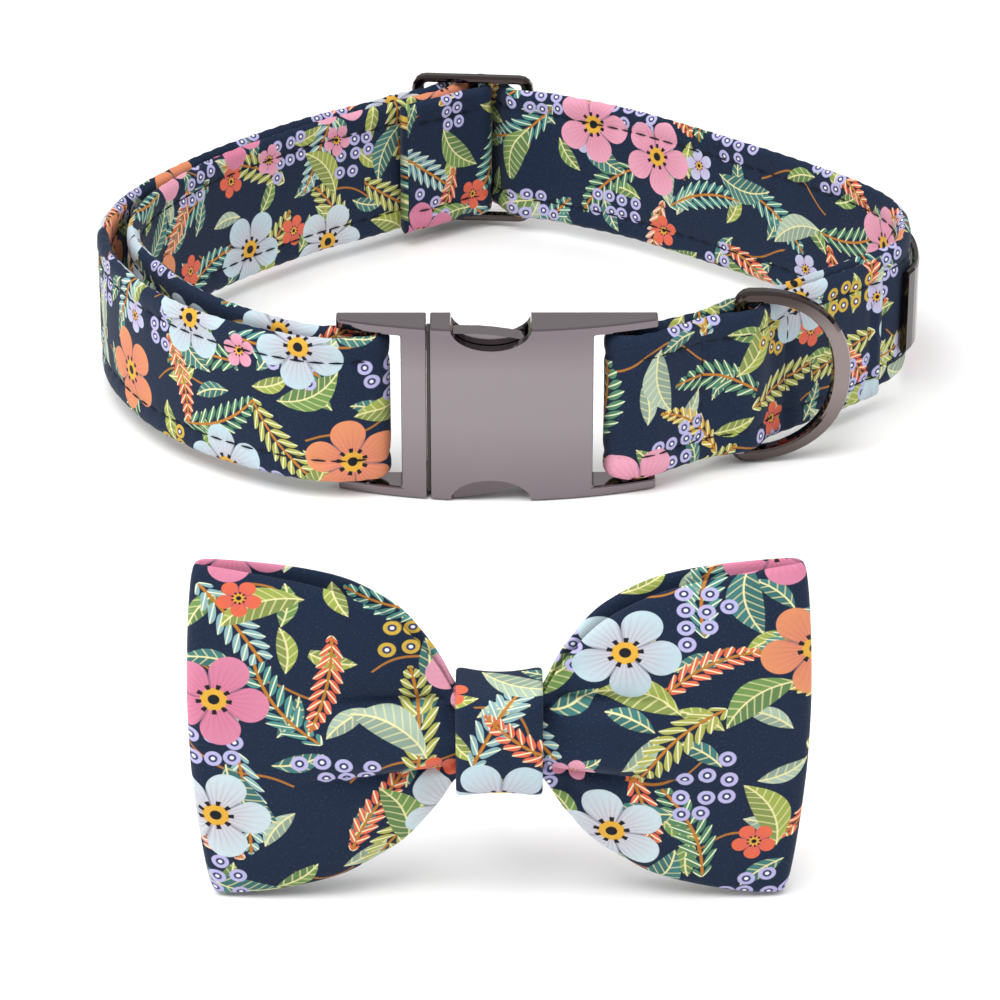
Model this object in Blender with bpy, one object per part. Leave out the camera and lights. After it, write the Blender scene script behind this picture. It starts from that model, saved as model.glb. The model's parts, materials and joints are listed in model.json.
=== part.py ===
"""A pet collar of printed cloth with a metal side-release buckle, and the bow tie that slips onto it.

The strap is one long band. It starts beside the D-ring, folds round the housing's bar, runs round the
back through the slider, comes forward on the left, folds round the latch's bar and goes back inside
itself to the slider's middle bar. The bow tie stands in front of the collar, taken off.
X is to the right, Y to the back and Z up. All sizes are metres.
"""

from math import cos, pi, radians, sin

import bmesh
import bpy
from mathutils import Matrix, Vector

MM = 0.001
GAP = 0.3 * MM

# Strap
STRAP_WIDTH = 25.0 * MM
STRAP_THICKNESS = 2.4 * MM
STRAP_EDGE_ROUND = 0.9 * MM
EDGE_CHORD = 0.62
EDGE_TIP = 0.22
TAIL_LENGTH = 4.0 * MM
FOLD_LENGTH = 8.0 * MM
LONGEST_STEP = 6.0 * MM
WIDEST_TURN = radians(10.0)

# Loop, seen from above, measured from the middle of the buckle's front
LOOP_HALF_WIDTH = 68.0 * MM
LOOP_DEPTH = 119.5 * MM

# Buckle, stated from the middle of the loop's front
BUCKLE_HEIGHT = 29.6 * MM
BUCKLE_DEPTH = 7.6 * MM
BUCKLE_FRONT_RADIUS = 70.0 * MM
BUCKLE_MIDDLE_X = 0.3 * MM
ARM_HEIGHT = 1.7 * MM
ARM_REACH = 10.2 * MM
HOUSING_LENGTH = 25.8 * MM
HOUSING_START_X = -10.3 * MM
HALVES_GAP = 0.6 * MM
LATCH_PLATE_LENGTH = 4.0 * MM
BAR_RADIUS = 1.1 * MM
BAR_INSET = 4.8 * MM
BAR_FROM_BACK = 2.4 * MM
NOTCH_WIDTH = 12.8 * MM
NOTCH_DEPTH = 3.6 * MM
NOTCH_START = 3.2 * MM
WALL_FRONT = 2.2 * MM
WALL_BACK = 1.3 * MM
WALL_TOP = 3.0 * MM
MOUTH_WALL = 1.3 * MM
SOCKET_LENGTH = 21.5 * MM
PRONG_LENGTH = 18.6 * MM
EDGE_BEVEL = 0.3 * MM

# Slider
SLIDER_WIDTH = 22.4 * MM
SLIDER_END_BAR = 1.4 * MM
SLIDER_X = -4.0 * MM
SLIDER_TURN = radians(-5.0)
SLIDER_BAR = 2.2 * MM
SLIDER_CORNER = 2.6 * MM
SLIDER_MIDDLE_RADIUS = 1.0 * MM
SLIDER_BEVEL = 0.45 * MM

# D-ring
RING_REACH = 19.4 * MM
RING_BAR_RADIUS = 1.2 * MM
RING_SHOULDER_WIDTH = 2.1 * MM
RING_NOSE_WIDTH = 3.0 * MM
RING_DEPTH = 2.8 * MM
RING_CORNER = 1.35 * MM
RING_FULLNESS = 2.25
RING_PLACE_X = 37.5 * MM
RING_REST_TURN = radians(6.0)
RING_EDGE_GAP = 0.35 * MM
RING_FLOOR_GAP = 0.15 * MM
POCKET_HALF_LENGTH = 6.5 * MM
POCKET_SLACK = 0.1 * MM
POCKET_BASE_SHARE = 0.3
FOLD_BACK_END_X = 61.5 * MM

# Side plate
PLATE_HEIGHT = 15.0 * MM
PLATE_LENGTH = 22.0 * MM
PLATE_THICKNESS = 1.2 * MM
PLATE_FROM_FOLD = 7.5 * MM
PLATE_STEPS = 14

# Bow
BOW_WIDTH = 81.4 * MM
BOW_HEIGHT = 48.2 * MM
BOW_WALL = 1.5 * MM
BOW_PLACE_X = 0.4 * MM
BOW_PLACE_Y = -118.6 * MM
BOW_EDGE_BOW = 1.7 * MM
BOW_TAPER = 0.6 * MM
BOW_EDGE_THINNING = 0.18
KNOT_WIDTH = 11.4 * MM
KNOT_HEIGHT = 15.9 * MM
KNOT_LIFT = 0.4 * MM
KNOT_WAIST = 0.9 * MM
KNOT_WALL = 1.5 * MM
KNOT_SWELL = 0.5 * MM
KNOT_CORNER = 2.55 * MM
PLEAT_DEPTH = 1.8 * MM
PLEAT_MARGIN = 0.9
KEEPER_WIDTH = 8.0 * MM
KEEPER_WALL = 1.2 * MM
KEEPER_HEIGHT = 9.0 * MM
KEEPER_DROP = 1.6 * MM
KEEPER_OPENING = 4.4 * MM
KEEPER_CORNER = 2.4 * MM

STRAP_BOTTOM = RING_EDGE_GAP + RING_SHOULDER_WIDTH + RING_FLOOR_GAP
STRAP_MIDDLE_Z = STRAP_BOTTOM + STRAP_WIDTH / 2
LAYER_STEP = STRAP_THICKNESS + GAP
TURN_RADIUS = BAR_RADIUS + GAP + STRAP_THICKNESS / 2
HOUSING_END_X = HOUSING_START_X + HOUSING_LENGTH
HOUSING_BAR_X = HOUSING_END_X + ARM_REACH - BAR_INSET
LATCH_PLATE_X = HOUSING_START_X - HALVES_GAP
LATCH_START_X = LATCH_PLATE_X - LATCH_PLATE_LENGTH - ARM_REACH
LATCH_BAR_X = LATCH_START_X + BAR_INSET
BAR_Y = BUCKLE_DEPTH - BAR_FROM_BACK
POCKET_ROOM = 2 * (RING_BAR_RADIUS + GAP) + POCKET_SLACK - GAP

# The strap's middle line on the right, from the housing's bar to the slider
# (x as a share of LOOP_HALF_WIDTH, y as a share of LOOP_DEPTH)
RIGHT_ROUTE = (
    (0.367, 0.069),
    (0.449, 0.094),
    (0.528, 0.126),
    (0.672, 0.194),
    (0.810, 0.261),
    (0.897, 0.305),
    (0.958, 0.336),
    (1.000, 0.376),
    (1.014, 0.430),
    (1.005, 0.494),
    (0.957, 0.556),
    (0.816, 0.651),
    (0.607, 0.766),
    (0.485, 0.828),
    (0.357, 0.889),
)

# The outer layer's middle line on the left, from the latch's bar to the slider
LEFT_ROUTE = (
    (-0.350, 0.0150),
    (-0.425, 0.019),
    (-0.519, 0.040),
    (-0.650, 0.086),
    (-0.740, 0.132),
    (-0.825, 0.191),
    (-0.888, 0.254),
    (-0.943, 0.330),
    (-0.966, 0.410),
    (-0.952, 0.485),
    (-0.905, 0.562),
    (-0.820, 0.645),
    (-0.697, 0.737),
    (-0.488, 0.855),
    (-0.341, 0.917),
)

# How far the two layers on the left stand apart
# (share of the way from the latch's bar to the slider, opening as a share of STRAP_THICKNESS)
LEFT_OPENING = (
    (0.00, 1.165),
    (0.06, 0.95),
    (0.20, 1.45),
    (0.33, 1.55),
    (0.45, 1.10),
    (0.58, 0.50),
    (0.72, 0.18),
    (1.00, 0.15),
)

# The strap's way through the slider, (along, outward) as shares of the step of one layer
SLIDER_RUN = (
    (5.60, -1.45),
    (4.40, -1.15),
    (3.50, -1.10),
    (2.88, -0.75),
    (2.38, 0.08),
    (1.86, 1.02),
    (1.12, 1.80),
    (0.00, 2.07),
    (-1.00, 1.82),
    (-1.80, 0.98),
    (-2.38, 0.02),
    (-2.98, -0.87),
    (-3.76, -1.45),
    (-5.00, -2.42),
)
SLIDER_LEG = (
    (-3.10, -2.24),
    (-2.24, -1.56),
    (-1.53, -0.58),
    (-1.04, 0.26),
    (-0.62, 0.75),
)
SLIDER_TAIL = (
    (-0.80, -1.58),
    (-1.55, -2.42),
    (-2.50, -3.18),
)

# The latch's upper prong from the side
# (x as a share of PRONG_LENGTH from the plate, z as a share of BUCKLE_HEIGHT)
PRONG_SIDE = (
    (0.00, 0.850),
    (0.26, 0.857),
    (0.60, 0.835),
    (0.85, 0.818),
    (1.00, 0.822),
    (1.00, 0.858),
    (0.86, 0.882),
    (0.85, 0.908),
    (0.72, 0.924),
    (0.58, 0.937),
    (0.44, 0.945),
    (0.26, 0.946),
    (0.00, 0.946),
)

# The bow from its middle outwards: distance and heights as shares of half the width and the whole
# height, the depth in front of the middle plane and the edges' lean back as shares of BOW_WALL
# (out, top, bottom, depth, lean)
BOW_SECTIONS = (
    (0.000, 0.090, 0.086, 1.15, 0.00),
    (0.075, 0.093, 0.089, 1.15, 0.10),
    (0.140, 0.124, 0.120, 1.20, 0.40),
    (0.195, 0.222, 0.222, 1.50, 1.00),
    (0.290, 0.325, 0.326, 2.00, 1.40),
    (0.400, 0.400, 0.388, 2.30, 1.20),
    (0.520, 0.450, 0.434, 2.35, 0.80),
    (0.650, 0.484, 0.462, 2.20, 0.45),
    (0.780, 0.504, 0.480, 1.90, 0.20),
    (0.900, 0.520, 0.490, 1.55, 0.05),
    (0.975, 0.528, 0.494, 1.25, 0.00),
)

# Pleats across the bow beside its knot, seen in a section from the lower to the upper edge
# (height as a share of PLEAT_DEPTH from the middle, depth as a share of PLEAT_DEPTH)
PLEATS = (
    (-3.05, -0.35),
    (-2.45, 0.85),
    (-1.95, -0.75),
    (-0.60, -1.00),
    (0.90, -1.00),
    (2.25, -0.70),
    (2.85, 0.75),
    (3.35, 0.00),
)
PLEAT_END = 0.62
PLEAT_START = 0.16
EDGE_ROWS = 3

# Where the bow's upright rows stand, as shares of half its width, up to the fold at its outer edge
BOW_COLUMNS = (0.0, 0.075, 0.14, 0.18, 0.23, 0.29, 0.35, 0.42, 0.50, 0.59, 0.69, 0.79, 0.88, 0.945)
BOW_FOLD_STEPS = 4


def smoothstep(value):
    """Rises from 0 to 1 with soft ends."""
    t = min(max(value, 0.0), 1.0)
    return t * t * (3 - 2 * t)


def read_table(rows, key, column):
    """Value of a column at a key, read smoothly between a table's rows."""
    if key <= rows[0][0]:
        return rows[0][column]
    for low, high in zip(rows, rows[1:]):
        if key <= high[0]:
            share = smoothstep((key - low[0]) / (high[0] - low[0])) * 0.5
            share += (key - low[0]) / (high[0] - low[0]) * 0.5
            return low[column] + (high[column] - low[column]) * share
    return rows[-1][column]


def curve_through(knots, steps=8):
    """Points of a smooth curve through the knots, closely spaced (centripetal Catmull-Rom)."""
    first = knots[0] * 2 - knots[1]
    last = knots[-1] * 2 - knots[-2]
    row = [first] + list(knots) + [last]
    points = []
    for a, b, c, d in zip(row, row[1:], row[2:], row[3:]):
        t1 = (b - a).length ** 0.5
        t2 = t1 + (c - b).length ** 0.5
        t3 = t2 + (d - c).length ** 0.5
        for index in range(steps):
            t = t1 + (t2 - t1) * index / steps
            low = a.lerp(b, t / t1)
            mid = b.lerp(c, (t - t1) / (t2 - t1))
            high = c.lerp(d, (t - t2) / (t3 - t2))
            left = low.lerp(mid, t / t2)
            right = mid.lerp(high, (t - t1) / (t3 - t1))
            points.append(left.lerp(right, (t - t1) / (t2 - t1)))
    points.append(knots[-1].copy())
    return points


def normals_of(points):
    """Unit normals in the plan, to the right of the way along the points."""
    result = []
    for index, point in enumerate(points):
        before = points[max(index - 1, 0)]
        after = points[min(index + 1, len(points) - 1)]
        way = (after - before).normalized()
        result.append(Vector((way.y, -way.x)))
    return result


def lengths_along(points):
    """Distance of each point from the first, along the line."""
    result = [0.0]
    for a, b in zip(points, points[1:]):
        result.append(result[-1] + (b - a).length)
    return result


def half_turn(centre, radius, start, sweep, steps=6):
    """Points round a bar, from the angle start through the angle sweep."""
    points = []
    for index in range(steps + 1):
        angle = start + sweep * index / steps
        points.append(centre + Vector((cos(angle), sin(angle))) * radius)
    return points


def thin_out(points):
    """Keeps the points that the steps and turns of a faceted band need."""
    kept = [points[0]]
    way = None
    for index in range(1, len(points) - 1):
        step = (points[index] - kept[-1]).length
        heading = points[index + 1] - points[index]
        if way is None:
            way = points[index] - kept[-1]
        turned = abs(way.angle(heading, 0.0))
        if step > LONGEST_STEP or (turned > WIDEST_TURN and step > GAP):
            kept.append(points[index])
            way = heading
    kept.append(points[-1])
    return kept


def slider_point(along, outward):
    """A point of the plan from its place beside the slider's middle bar."""
    middle = Vector((SLIDER_X, LOOP_DEPTH))
    side = Vector((cos(SLIDER_TURN), sin(SLIDER_TURN)))
    out = Vector((-side.y, side.x))
    return middle + side * along + out * outward


def slider_knots(rows):
    """Knots of the plan from a table of the strap's way through the slider."""
    return [slider_point(a * LAYER_STEP, b * LAYER_STEP) for a, b in rows]


def route_knots(rows):
    """Knots of the plan from a table of the loop's shares."""
    return [Vector((x * LOOP_HALF_WIDTH, y * LOOP_DEPTH)) for x, y in rows]


def right_base():
    """Middle line of the strap on the right, from the housing's bar to the slider's right bar."""
    start = Vector((HOUSING_BAR_X, BAR_Y + TURN_RADIUS))
    return curve_through([start] + route_knots(RIGHT_ROUTE) + slider_knots(SLIDER_RUN[:1]))


def nearest_on(points, x):
    """Index of the first point along the line that lies at or past an x."""
    return next(index for index, point in enumerate(points) if point.x >= x)


def pocket_share(distance):
    """How open the D-ring's pocket is at a distance from its bar, 1 at the bar and 0 at its seams."""
    if abs(distance) >= POCKET_HALF_LENGTH:
        return 0.0
    return cos(pi / 2 * distance / POCKET_HALF_LENGTH) ** 2


def right_layers():
    """The base layer on the right and the folded-back layer outside it, and the D-ring's place."""
    base = right_base()
    along = lengths_along(base)
    normals = normals_of(base)
    ring_at = along[nearest_on(base, RING_PLACE_X)]
    end = nearest_on(base, FOLD_BACK_END_X)
    pressed = []
    folded = []
    for index, point in enumerate(base):
        share = pocket_share(along[index] - ring_at)
        inward = share * POCKET_ROOM * POCKET_BASE_SHARE
        pressed.append(point - normals[index] * inward)
        if index > end:
            continue
        fold = 1 - smoothstep(along[index] / FOLD_LENGTH)
        spread = LAYER_STEP + (2 * TURN_RADIUS - LAYER_STEP) * fold
        outward = spread + share * POCKET_ROOM * (1 - POCKET_BASE_SHARE)
        folded.append(point + normals[index] * outward)
    ring_index = nearest_on(base, RING_PLACE_X)
    middle = (pressed[ring_index] + folded[ring_index]) / 2
    return pressed, folded, middle


def left_outer():
    """Middle line of the outer layer on the left, from the latch's bar to the slider's left bar."""
    start = Vector((LATCH_BAR_X, BAR_Y - TURN_RADIUS))
    return curve_through([start] + route_knots(LEFT_ROUTE) + slider_knots(SLIDER_RUN[-1:]))


def left_inner(outer):
    """Middle line of the layer inside it, from the latch's bar to the slider's left bar."""
    along = lengths_along(outer)
    normals = normals_of(outer)
    result = []
    for index, point in enumerate(outer):
        opening = read_table(LEFT_OPENING, along[index] / along[-1], 1) * STRAP_THICKNESS
        result.append(point + normals[index] * (STRAP_THICKNESS + opening))
    return result


def tail_knots(inner):
    """Knots of the sewn-back tail, which lies along the inner layer on the neck's side."""
    along = lengths_along(inner)
    normals = normals_of(inner)
    knots = []
    for index in range(len(inner) - 1, 0, -4):
        if along[-1] - along[index] > TAIL_LENGTH:
            break
        knots.append(inner[index] + normals[index] * (LAYER_STEP + GAP))
    return knots


def strap_route():
    """The whole strap's middle line, from the end beside the D-ring to the tail in the slider."""
    base, folded, _ = right_layers()
    outer = left_outer()
    inner = left_inner(outer)
    housing_bar = Vector((HOUSING_BAR_X, BAR_Y))
    latch_bar = Vector((LATCH_BAR_X, BAR_Y))
    route = list(reversed(folded))
    route += half_turn(housing_bar, TURN_RADIUS, -pi / 2, -pi)[1:-1]
    route += base
    run = slider_knots(SLIDER_RUN)
    route += curve_through(run)[1:-1]
    route += list(reversed(outer))
    route += half_turn(latch_bar, TURN_RADIUS, -pi / 2, pi)[1:-1]
    turn_radius = SLIDER_MIDDLE_RADIUS + GAP + STRAP_THICKNESS / 2
    start = pi / 2 + SLIDER_TURN
    turn = half_turn(slider_point(0, 0), turn_radius, start, -pi)
    knots = [inner[-1]] + slider_knots(SLIDER_LEG) + turn + slider_knots(SLIDER_TAIL)
    route += inner[:-1]
    route += curve_through(knots + tail_knots(inner))
    return thin_out(route)


def new_object(name, mesh_data, colour, metallic, roughness):
    """An object with its own material, from a bmesh that is used up."""
    mesh = bpy.data.meshes.new(name)
    bmesh.ops.recalc_face_normals(mesh_data, faces=mesh_data.faces)
    mesh_data.to_mesh(mesh)
    mesh_data.free()
    made = bpy.data.objects.new(name, mesh)
    bpy.context.collection.objects.link(made)
    material = bpy.data.materials.new(name)
    material.use_nodes = True
    surface = material.node_tree.nodes["Principled BSDF"]
    surface.inputs["Base Color"].default_value = (*colour, 1.0)
    surface.inputs["Metallic"].default_value = metallic
    surface.inputs["Roughness"].default_value = roughness
    mesh.materials.append(material)
    return made


def shade_round(made, angle=radians(35.0)):
    """Shades the round stretches of an object smoothly."""
    for face in made.data.polygons:
        face.use_smooth = True
    made.data.set_sharp_from_angle(angle=angle)


def loft(rings, closed=False):
    """A closed body through rings of points, joined end to end or capped."""
    body = bmesh.new()
    rows = [[body.verts.new(point) for point in ring] for ring in rings]
    pairs = list(zip(rows, rows[1:]))
    if closed:
        pairs.append((rows[-1], rows[0]))
    for low, high in pairs:
        count = len(low)
        for index in range(count):
            after = (index + 1) % count
            body.faces.new((low[index], low[after], high[after], high[index]))
    if not closed:
        body.faces.new(list(reversed(rows[0])))
        body.faces.new(rows[-1])
    return body


def extruded(outline, way):
    """A closed body from a flat outline, pushed along a vector."""
    body = bmesh.new()
    face = body.faces.new([body.verts.new(point) for point in outline])
    pushed = bmesh.ops.extrude_face_region(body, geom=[face])
    verts = [part for part in pushed["geom"] if isinstance(part, bmesh.types.BMVert)]
    bmesh.ops.translate(body, verts=verts, vec=way)
    bmesh.ops.recalc_face_normals(body, faces=body.faces)
    return body


def box(low, high):
    """A closed box between two corners."""
    body = bmesh.new()
    size = Vector(high) - Vector(low)
    middle = (Vector(high) + Vector(low)) / 2
    place = Matrix.Translation(middle) @ Matrix.Diagonal((*size, 1.0))
    bmesh.ops.create_cube(body, size=1.0, matrix=place)
    return body


def rod(centre, low, high, radius, segments=16):
    """An upright rod from one height to another."""
    body = bmesh.new()
    place = Matrix.Translation((centre.x, centre.y, (low + high) / 2))
    bmesh.ops.create_cone(body, cap_ends=True, segments=segments, radius1=radius,
                          radius2=radius, depth=high - low, matrix=place)
    return body


def combine(target, tool_mesh, operation):
    """Joins a body to an object or cuts it out of it."""
    mesh = bpy.data.meshes.new("tool")
    bmesh.ops.recalc_face_normals(tool_mesh, faces=tool_mesh.faces)
    tool_mesh.to_mesh(mesh)
    tool_mesh.free()
    tool = bpy.data.objects.new("tool", mesh)
    bpy.context.collection.objects.link(tool)
    step = target.modifiers.new(operation, "BOOLEAN")
    step.operation = operation
    step.solver = "EXACT"
    step.object = tool
    finish_modifiers(target)
    bpy.data.objects.remove(tool)
    bpy.data.meshes.remove(mesh)


def finish_modifiers(target):
    """Turns an object's modifiers into its mesh."""
    graph = bpy.context.evaluated_depsgraph_get()
    graph.update()
    mesh = bpy.data.meshes.new_from_object(target.evaluated_get(graph))
    old = target.data
    target.modifiers.clear()
    target.data = mesh
    name = old.name
    bpy.data.meshes.remove(old)
    mesh.name = name


def soften_edges(target, width, segments=2):
    """Rounds an object's sharp edges a little, as polished casting has them."""
    step = target.modifiers.new("edges", "BEVEL")
    step.width = width
    step.segments = segments
    step.limit_method = "ANGLE"
    step.angle_limit = radians(50.0)
    finish_modifiers(target)


def band_section(point, normal, half_height, half_thickness, edge):
    """Ring of a flat band with rounded edges, standing on its edge at a point of the plan."""
    flat = half_height - edge
    tip = half_height - edge * EDGE_TIP
    chord = half_thickness * EDGE_CHORD
    upper = [(half_thickness, flat), (chord, tip), (0.0, half_height)]
    upper += [(-chord, tip), (-half_thickness, flat)]
    lower = [(-across, -up) for across, up in upper]
    ring = []
    for across, up in upper + lower:
        spot = point + normal * across
        ring.append(Vector((spot.x, spot.y, STRAP_MIDDLE_Z + up)))
    return ring


def make_strap():
    route = strap_route()
    normals = normals_of(route)
    rings = []
    for point, normal in zip(route, normals):
        rings.append(band_section(point, normal, STRAP_WIDTH / 2, STRAP_THICKNESS / 2,
                                  STRAP_EDGE_ROUND))
    strap = new_object("strap", loft(rings), (0.02, 0.03, 0.07), 0.0, 0.8)
    shade_round(strap)
    return strap


def make_side_plate():
    """The plain metal plate on the strap's outer face at the far right."""
    base = right_base()
    along = lengths_along(base)
    normals = normals_of(base)
    start = along[nearest_on(base, FOLD_BACK_END_X)] + PLATE_FROM_FOLD
    reach = STRAP_THICKNESS / 2 + GAP + PLATE_THICKNESS / 2
    rings = []
    for step in range(PLATE_STEPS + 1):
        wanted = start + PLATE_LENGTH * step / PLATE_STEPS
        index = next(index for index, length in enumerate(along) if length >= wanted)
        middle = base[index] + normals[index] * reach
        rings.append(band_section(middle, normals[index], PLATE_HEIGHT / 2, PLATE_THICKNESS / 2,
                                  PLATE_THICKNESS / 2))
    plate = new_object("side_plate", loft(rings), (0.1, 0.09, 0.09), 1.0, 0.3)
    shade_round(plate)
    return plate


def buckle_front(x):
    """Depth of the buckle's rounded front face at an x, with 0 at its middle."""
    off = x - BUCKLE_MIDDLE_X
    return BUCKLE_FRONT_RADIUS - (BUCKLE_FRONT_RADIUS ** 2 - off ** 2) ** 0.5


def buckle_blank(name, stops, step=2.6 * MM):
    """A slice of the buckle's full height through the stops, with the rounded front and the flat back."""
    outline = [Vector((stops[0], buckle_front(stops[0]), 0.0))]
    for low_x, high_x in zip(stops, stops[1:]):
        steps = max(1, round((high_x - low_x) / step))
        for index in range(1, steps + 1):
            x = low_x + (high_x - low_x) * index / steps
            outline.append(Vector((x, buckle_front(x), 0.0)))
    outline.append(Vector((stops[-1], BUCKLE_DEPTH, 0.0)))
    outline.append(Vector((stops[0], BUCKLE_DEPTH, 0.0)))
    body = extruded(outline, Vector((0.0, 0.0, BUCKLE_HEIGHT)))
    return new_object(name, body, (0.25, 0.22, 0.24), 1.0, 0.25)


def cut_window(target, low_x, high_x):
    """Cuts the strap's window between the two arms of a buckle half."""
    low = (low_x, -BUCKLE_DEPTH, ARM_HEIGHT)
    high = (high_x, 2 * BUCKLE_DEPTH, BUCKLE_HEIGHT - ARM_HEIGHT)
    combine(target, box(low, high), "DIFFERENCE")


def add_bar(target, x):
    """Adds the upright bar that the strap folds round."""
    reach = ARM_HEIGHT / 2
    bar = rod(Vector((x, BAR_Y)), reach, BUCKLE_HEIGHT - reach, BAR_RADIUS)
    combine(target, bar, "UNION")


def make_housing():
    stops = (HOUSING_START_X, HOUSING_END_X, HOUSING_END_X + ARM_REACH)
    housing = buckle_blank("buckle_housing", stops)
    cut_window(housing, HOUSING_END_X, HOUSING_END_X + 2 * ARM_REACH)
    soften_edges(housing, EDGE_BEVEL)
    notch_middle = HOUSING_START_X + NOTCH_START + NOTCH_WIDTH / 2
    for edge in (0.0, BUCKLE_HEIGHT):
        notch = bmesh.new()
        lay = Matrix.Rotation(pi / 2, 4, "X")
        size = Matrix.Diagonal((NOTCH_WIDTH / 2, NOTCH_DEPTH, 1.0, 1.0))
        place = Matrix.Translation((notch_middle, BUCKLE_DEPTH / 2, edge)) @ lay @ size
        bmesh.ops.create_cone(notch, cap_ends=True, segments=28, radius1=1.0, radius2=1.0,
                              depth=2 * BUCKLE_DEPTH, matrix=place)
        combine(housing, notch, "DIFFERENCE")
    far_x = HOUSING_START_X + SOCKET_LENGTH
    mouth_end = HOUSING_START_X + NOTCH_START + NOTCH_WIDTH
    before_x = HOUSING_START_X - HALVES_GAP
    upper = ((before_x, MOUTH_WALL), (mouth_end, MOUTH_WALL), (mouth_end, WALL_TOP), (far_x, WALL_TOP))
    socket = [Vector((x, WALL_FRONT, wall)) for x, wall in upper]
    socket += [Vector((x, WALL_FRONT, BUCKLE_HEIGHT - wall)) for x, wall in reversed(upper)]
    depth = BUCKLE_DEPTH - WALL_BACK - WALL_FRONT
    combine(housing, extruded(socket, Vector((0.0, depth, 0.0))), "DIFFERENCE")
    add_bar(housing, HOUSING_BAR_X)
    shade_round(housing)
    return housing


def make_latch():
    latch = buckle_blank("buckle_latch", (LATCH_START_X, LATCH_START_X + ARM_REACH, LATCH_PLATE_X))
    cut_window(latch, LATCH_START_X - ARM_REACH, LATCH_START_X + ARM_REACH)
    soften_edges(latch, EDGE_BEVEL)
    add_bar(latch, LATCH_BAR_X)
    depth = BUCKLE_DEPTH - WALL_BACK - WALL_FRONT - 2 * GAP
    for side in (1, -1):
        outline = []
        for x, z in PRONG_SIDE:
            height = z * BUCKLE_HEIGHT if side > 0 else (1 - z) * BUCKLE_HEIGHT
            start = LATCH_PLATE_X - LATCH_PLATE_LENGTH / 4
            reach = LATCH_PLATE_X + x * PRONG_LENGTH if x > 0 else start
            outline.append(Vector((reach, WALL_FRONT + GAP, height)))
        combine(latch, extruded(outline, Vector((0.0, depth, 0.0))), "UNION")
    shade_round(latch)
    return latch


def rounded_rectangle(half_x, half_z, corner, steps=4):
    """Points of a rectangle with round corners, upright in X and Z."""
    points = []
    for quarter in range(4):
        for index in range(steps + 1):
            angle = pi / 2 * (quarter + index / steps)
            side_x = half_x - corner if quarter in (0, 3) else corner - half_x
            side_z = half_z - corner if quarter in (0, 1) else corner - half_z
            points.append(Vector((side_x + corner * cos(angle), 0.0, side_z + corner * sin(angle))))
    return points


def make_slider():
    """The adjuster's frame with its middle bar, which stands on the strap's two edges."""
    half = STRAP_WIDTH / 2 + GAP + SLIDER_END_BAR
    outline = rounded_rectangle(SLIDER_WIDTH / 2, half, SLIDER_CORNER)
    body = extruded(outline, Vector((0.0, SLIDER_BAR, 0.0)))
    bmesh.ops.translate(body, verts=body.verts, vec=(0.0, -SLIDER_BAR / 2, 0.0))
    slider = new_object("slider", body, (0.25, 0.22, 0.24), 1.0, 0.25)
    slot = rounded_rectangle(SLIDER_WIDTH / 2 - SLIDER_BAR, half - SLIDER_END_BAR,
                             SLIDER_CORNER - SLIDER_BAR + GAP, 2)
    hole = extruded(slot, Vector((0.0, 3 * SLIDER_BAR, 0.0)))
    bmesh.ops.translate(hole, verts=hole.verts, vec=(0.0, -1.5 * SLIDER_BAR, 0.0))
    combine(slider, hole, "DIFFERENCE")
    soften_edges(slider, SLIDER_BEVEL)
    reach = half - SLIDER_END_BAR / 2
    combine(slider, rod(Vector((0.0, 0.0)), -reach, reach, SLIDER_MIDDLE_RADIUS, 12), "UNION")
    shade_round(slider)
    middle = slider_point(0, 0)
    slider.location = (middle.x, middle.y, STRAP_MIDDLE_Z)
    slider.rotation_euler = (0.0, 0.0, SLIDER_TURN)
    return slider


def ring_line():
    """The D-ring's middle line from its hinge: (outward, up, width, depth, squareness) for each station."""
    high = STRAP_WIDTH / 2 + RING_EDGE_GAP + RING_SHOULDER_WIDTH / 2
    reach = RING_REACH - RING_BAR_RADIUS - RING_NOSE_WIDTH / 2
    bar = 2 * RING_BAR_RADIUS
    straight = high - RING_CORNER
    half = []
    for index in range(4):
        half.append((0.0, straight * index / 4, bar, bar, 2.0))
    for index in range(4):
        angle = pi / 2 * index / 4
        share = smoothstep(index / 4)
        width = bar + (RING_SHOULDER_WIDTH - bar) * share
        depth = bar + (RING_DEPTH - bar) * share
        half.append((RING_CORNER * (1 - cos(angle)), straight + RING_CORNER * sin(angle), width, depth,
                     2.0 + 2.0 * share))
    steps = 13
    power = 2 / RING_FULLNESS
    for index in range(steps + 1):
        angle = pi / 2 * index / steps
        share = sin(angle) ** power
        width = RING_SHOULDER_WIDTH + (RING_NOSE_WIDTH - RING_SHOULDER_WIDTH) * share ** 3
        up = high * max(cos(angle), 0.0) ** power
        half.append((RING_CORNER + (reach - RING_CORNER) * share, up, width, RING_DEPTH, 4.0))
    lower = [(out, -up, width, depth, square) for out, up, width, depth, square in half[1:-1]]
    return half + list(reversed(lower))


def make_ring():
    line = ring_line()
    count = len(line)
    sides = 12
    rings = []
    for index, (out, up, width, depth, square) in enumerate(line):
        before = line[index - 1]
        after = line[(index + 1) % count]
        way = Vector((after[0] - before[0], after[1] - before[1])).normalized()
        normal = Vector((way.y, -way.x))
        ring = []
        for side in range(sides):
            angle = 2 * pi * (side + 0.5) / sides
            power = 2 / square
            across = abs(cos(angle)) ** power * (1 if cos(angle) > 0 else -1) * width / 2
            deep = abs(sin(angle)) ** power * (1 if sin(angle) > 0 else -1) * depth / 2
            ring.append(Vector((out + normal.x * across, deep, up + normal.y * across)))
        rings.append(ring)
    ring = new_object("d_ring", loft(rings, closed=True), (0.25, 0.22, 0.24), 1.0, 0.25)
    shade_round(ring)
    _, _, middle = right_layers()
    ring.location = (middle.x, middle.y, STRAP_MIDDLE_Z)
    ring.rotation_euler = (0.0, 0.0, RING_REST_TURN)
    return ring


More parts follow.
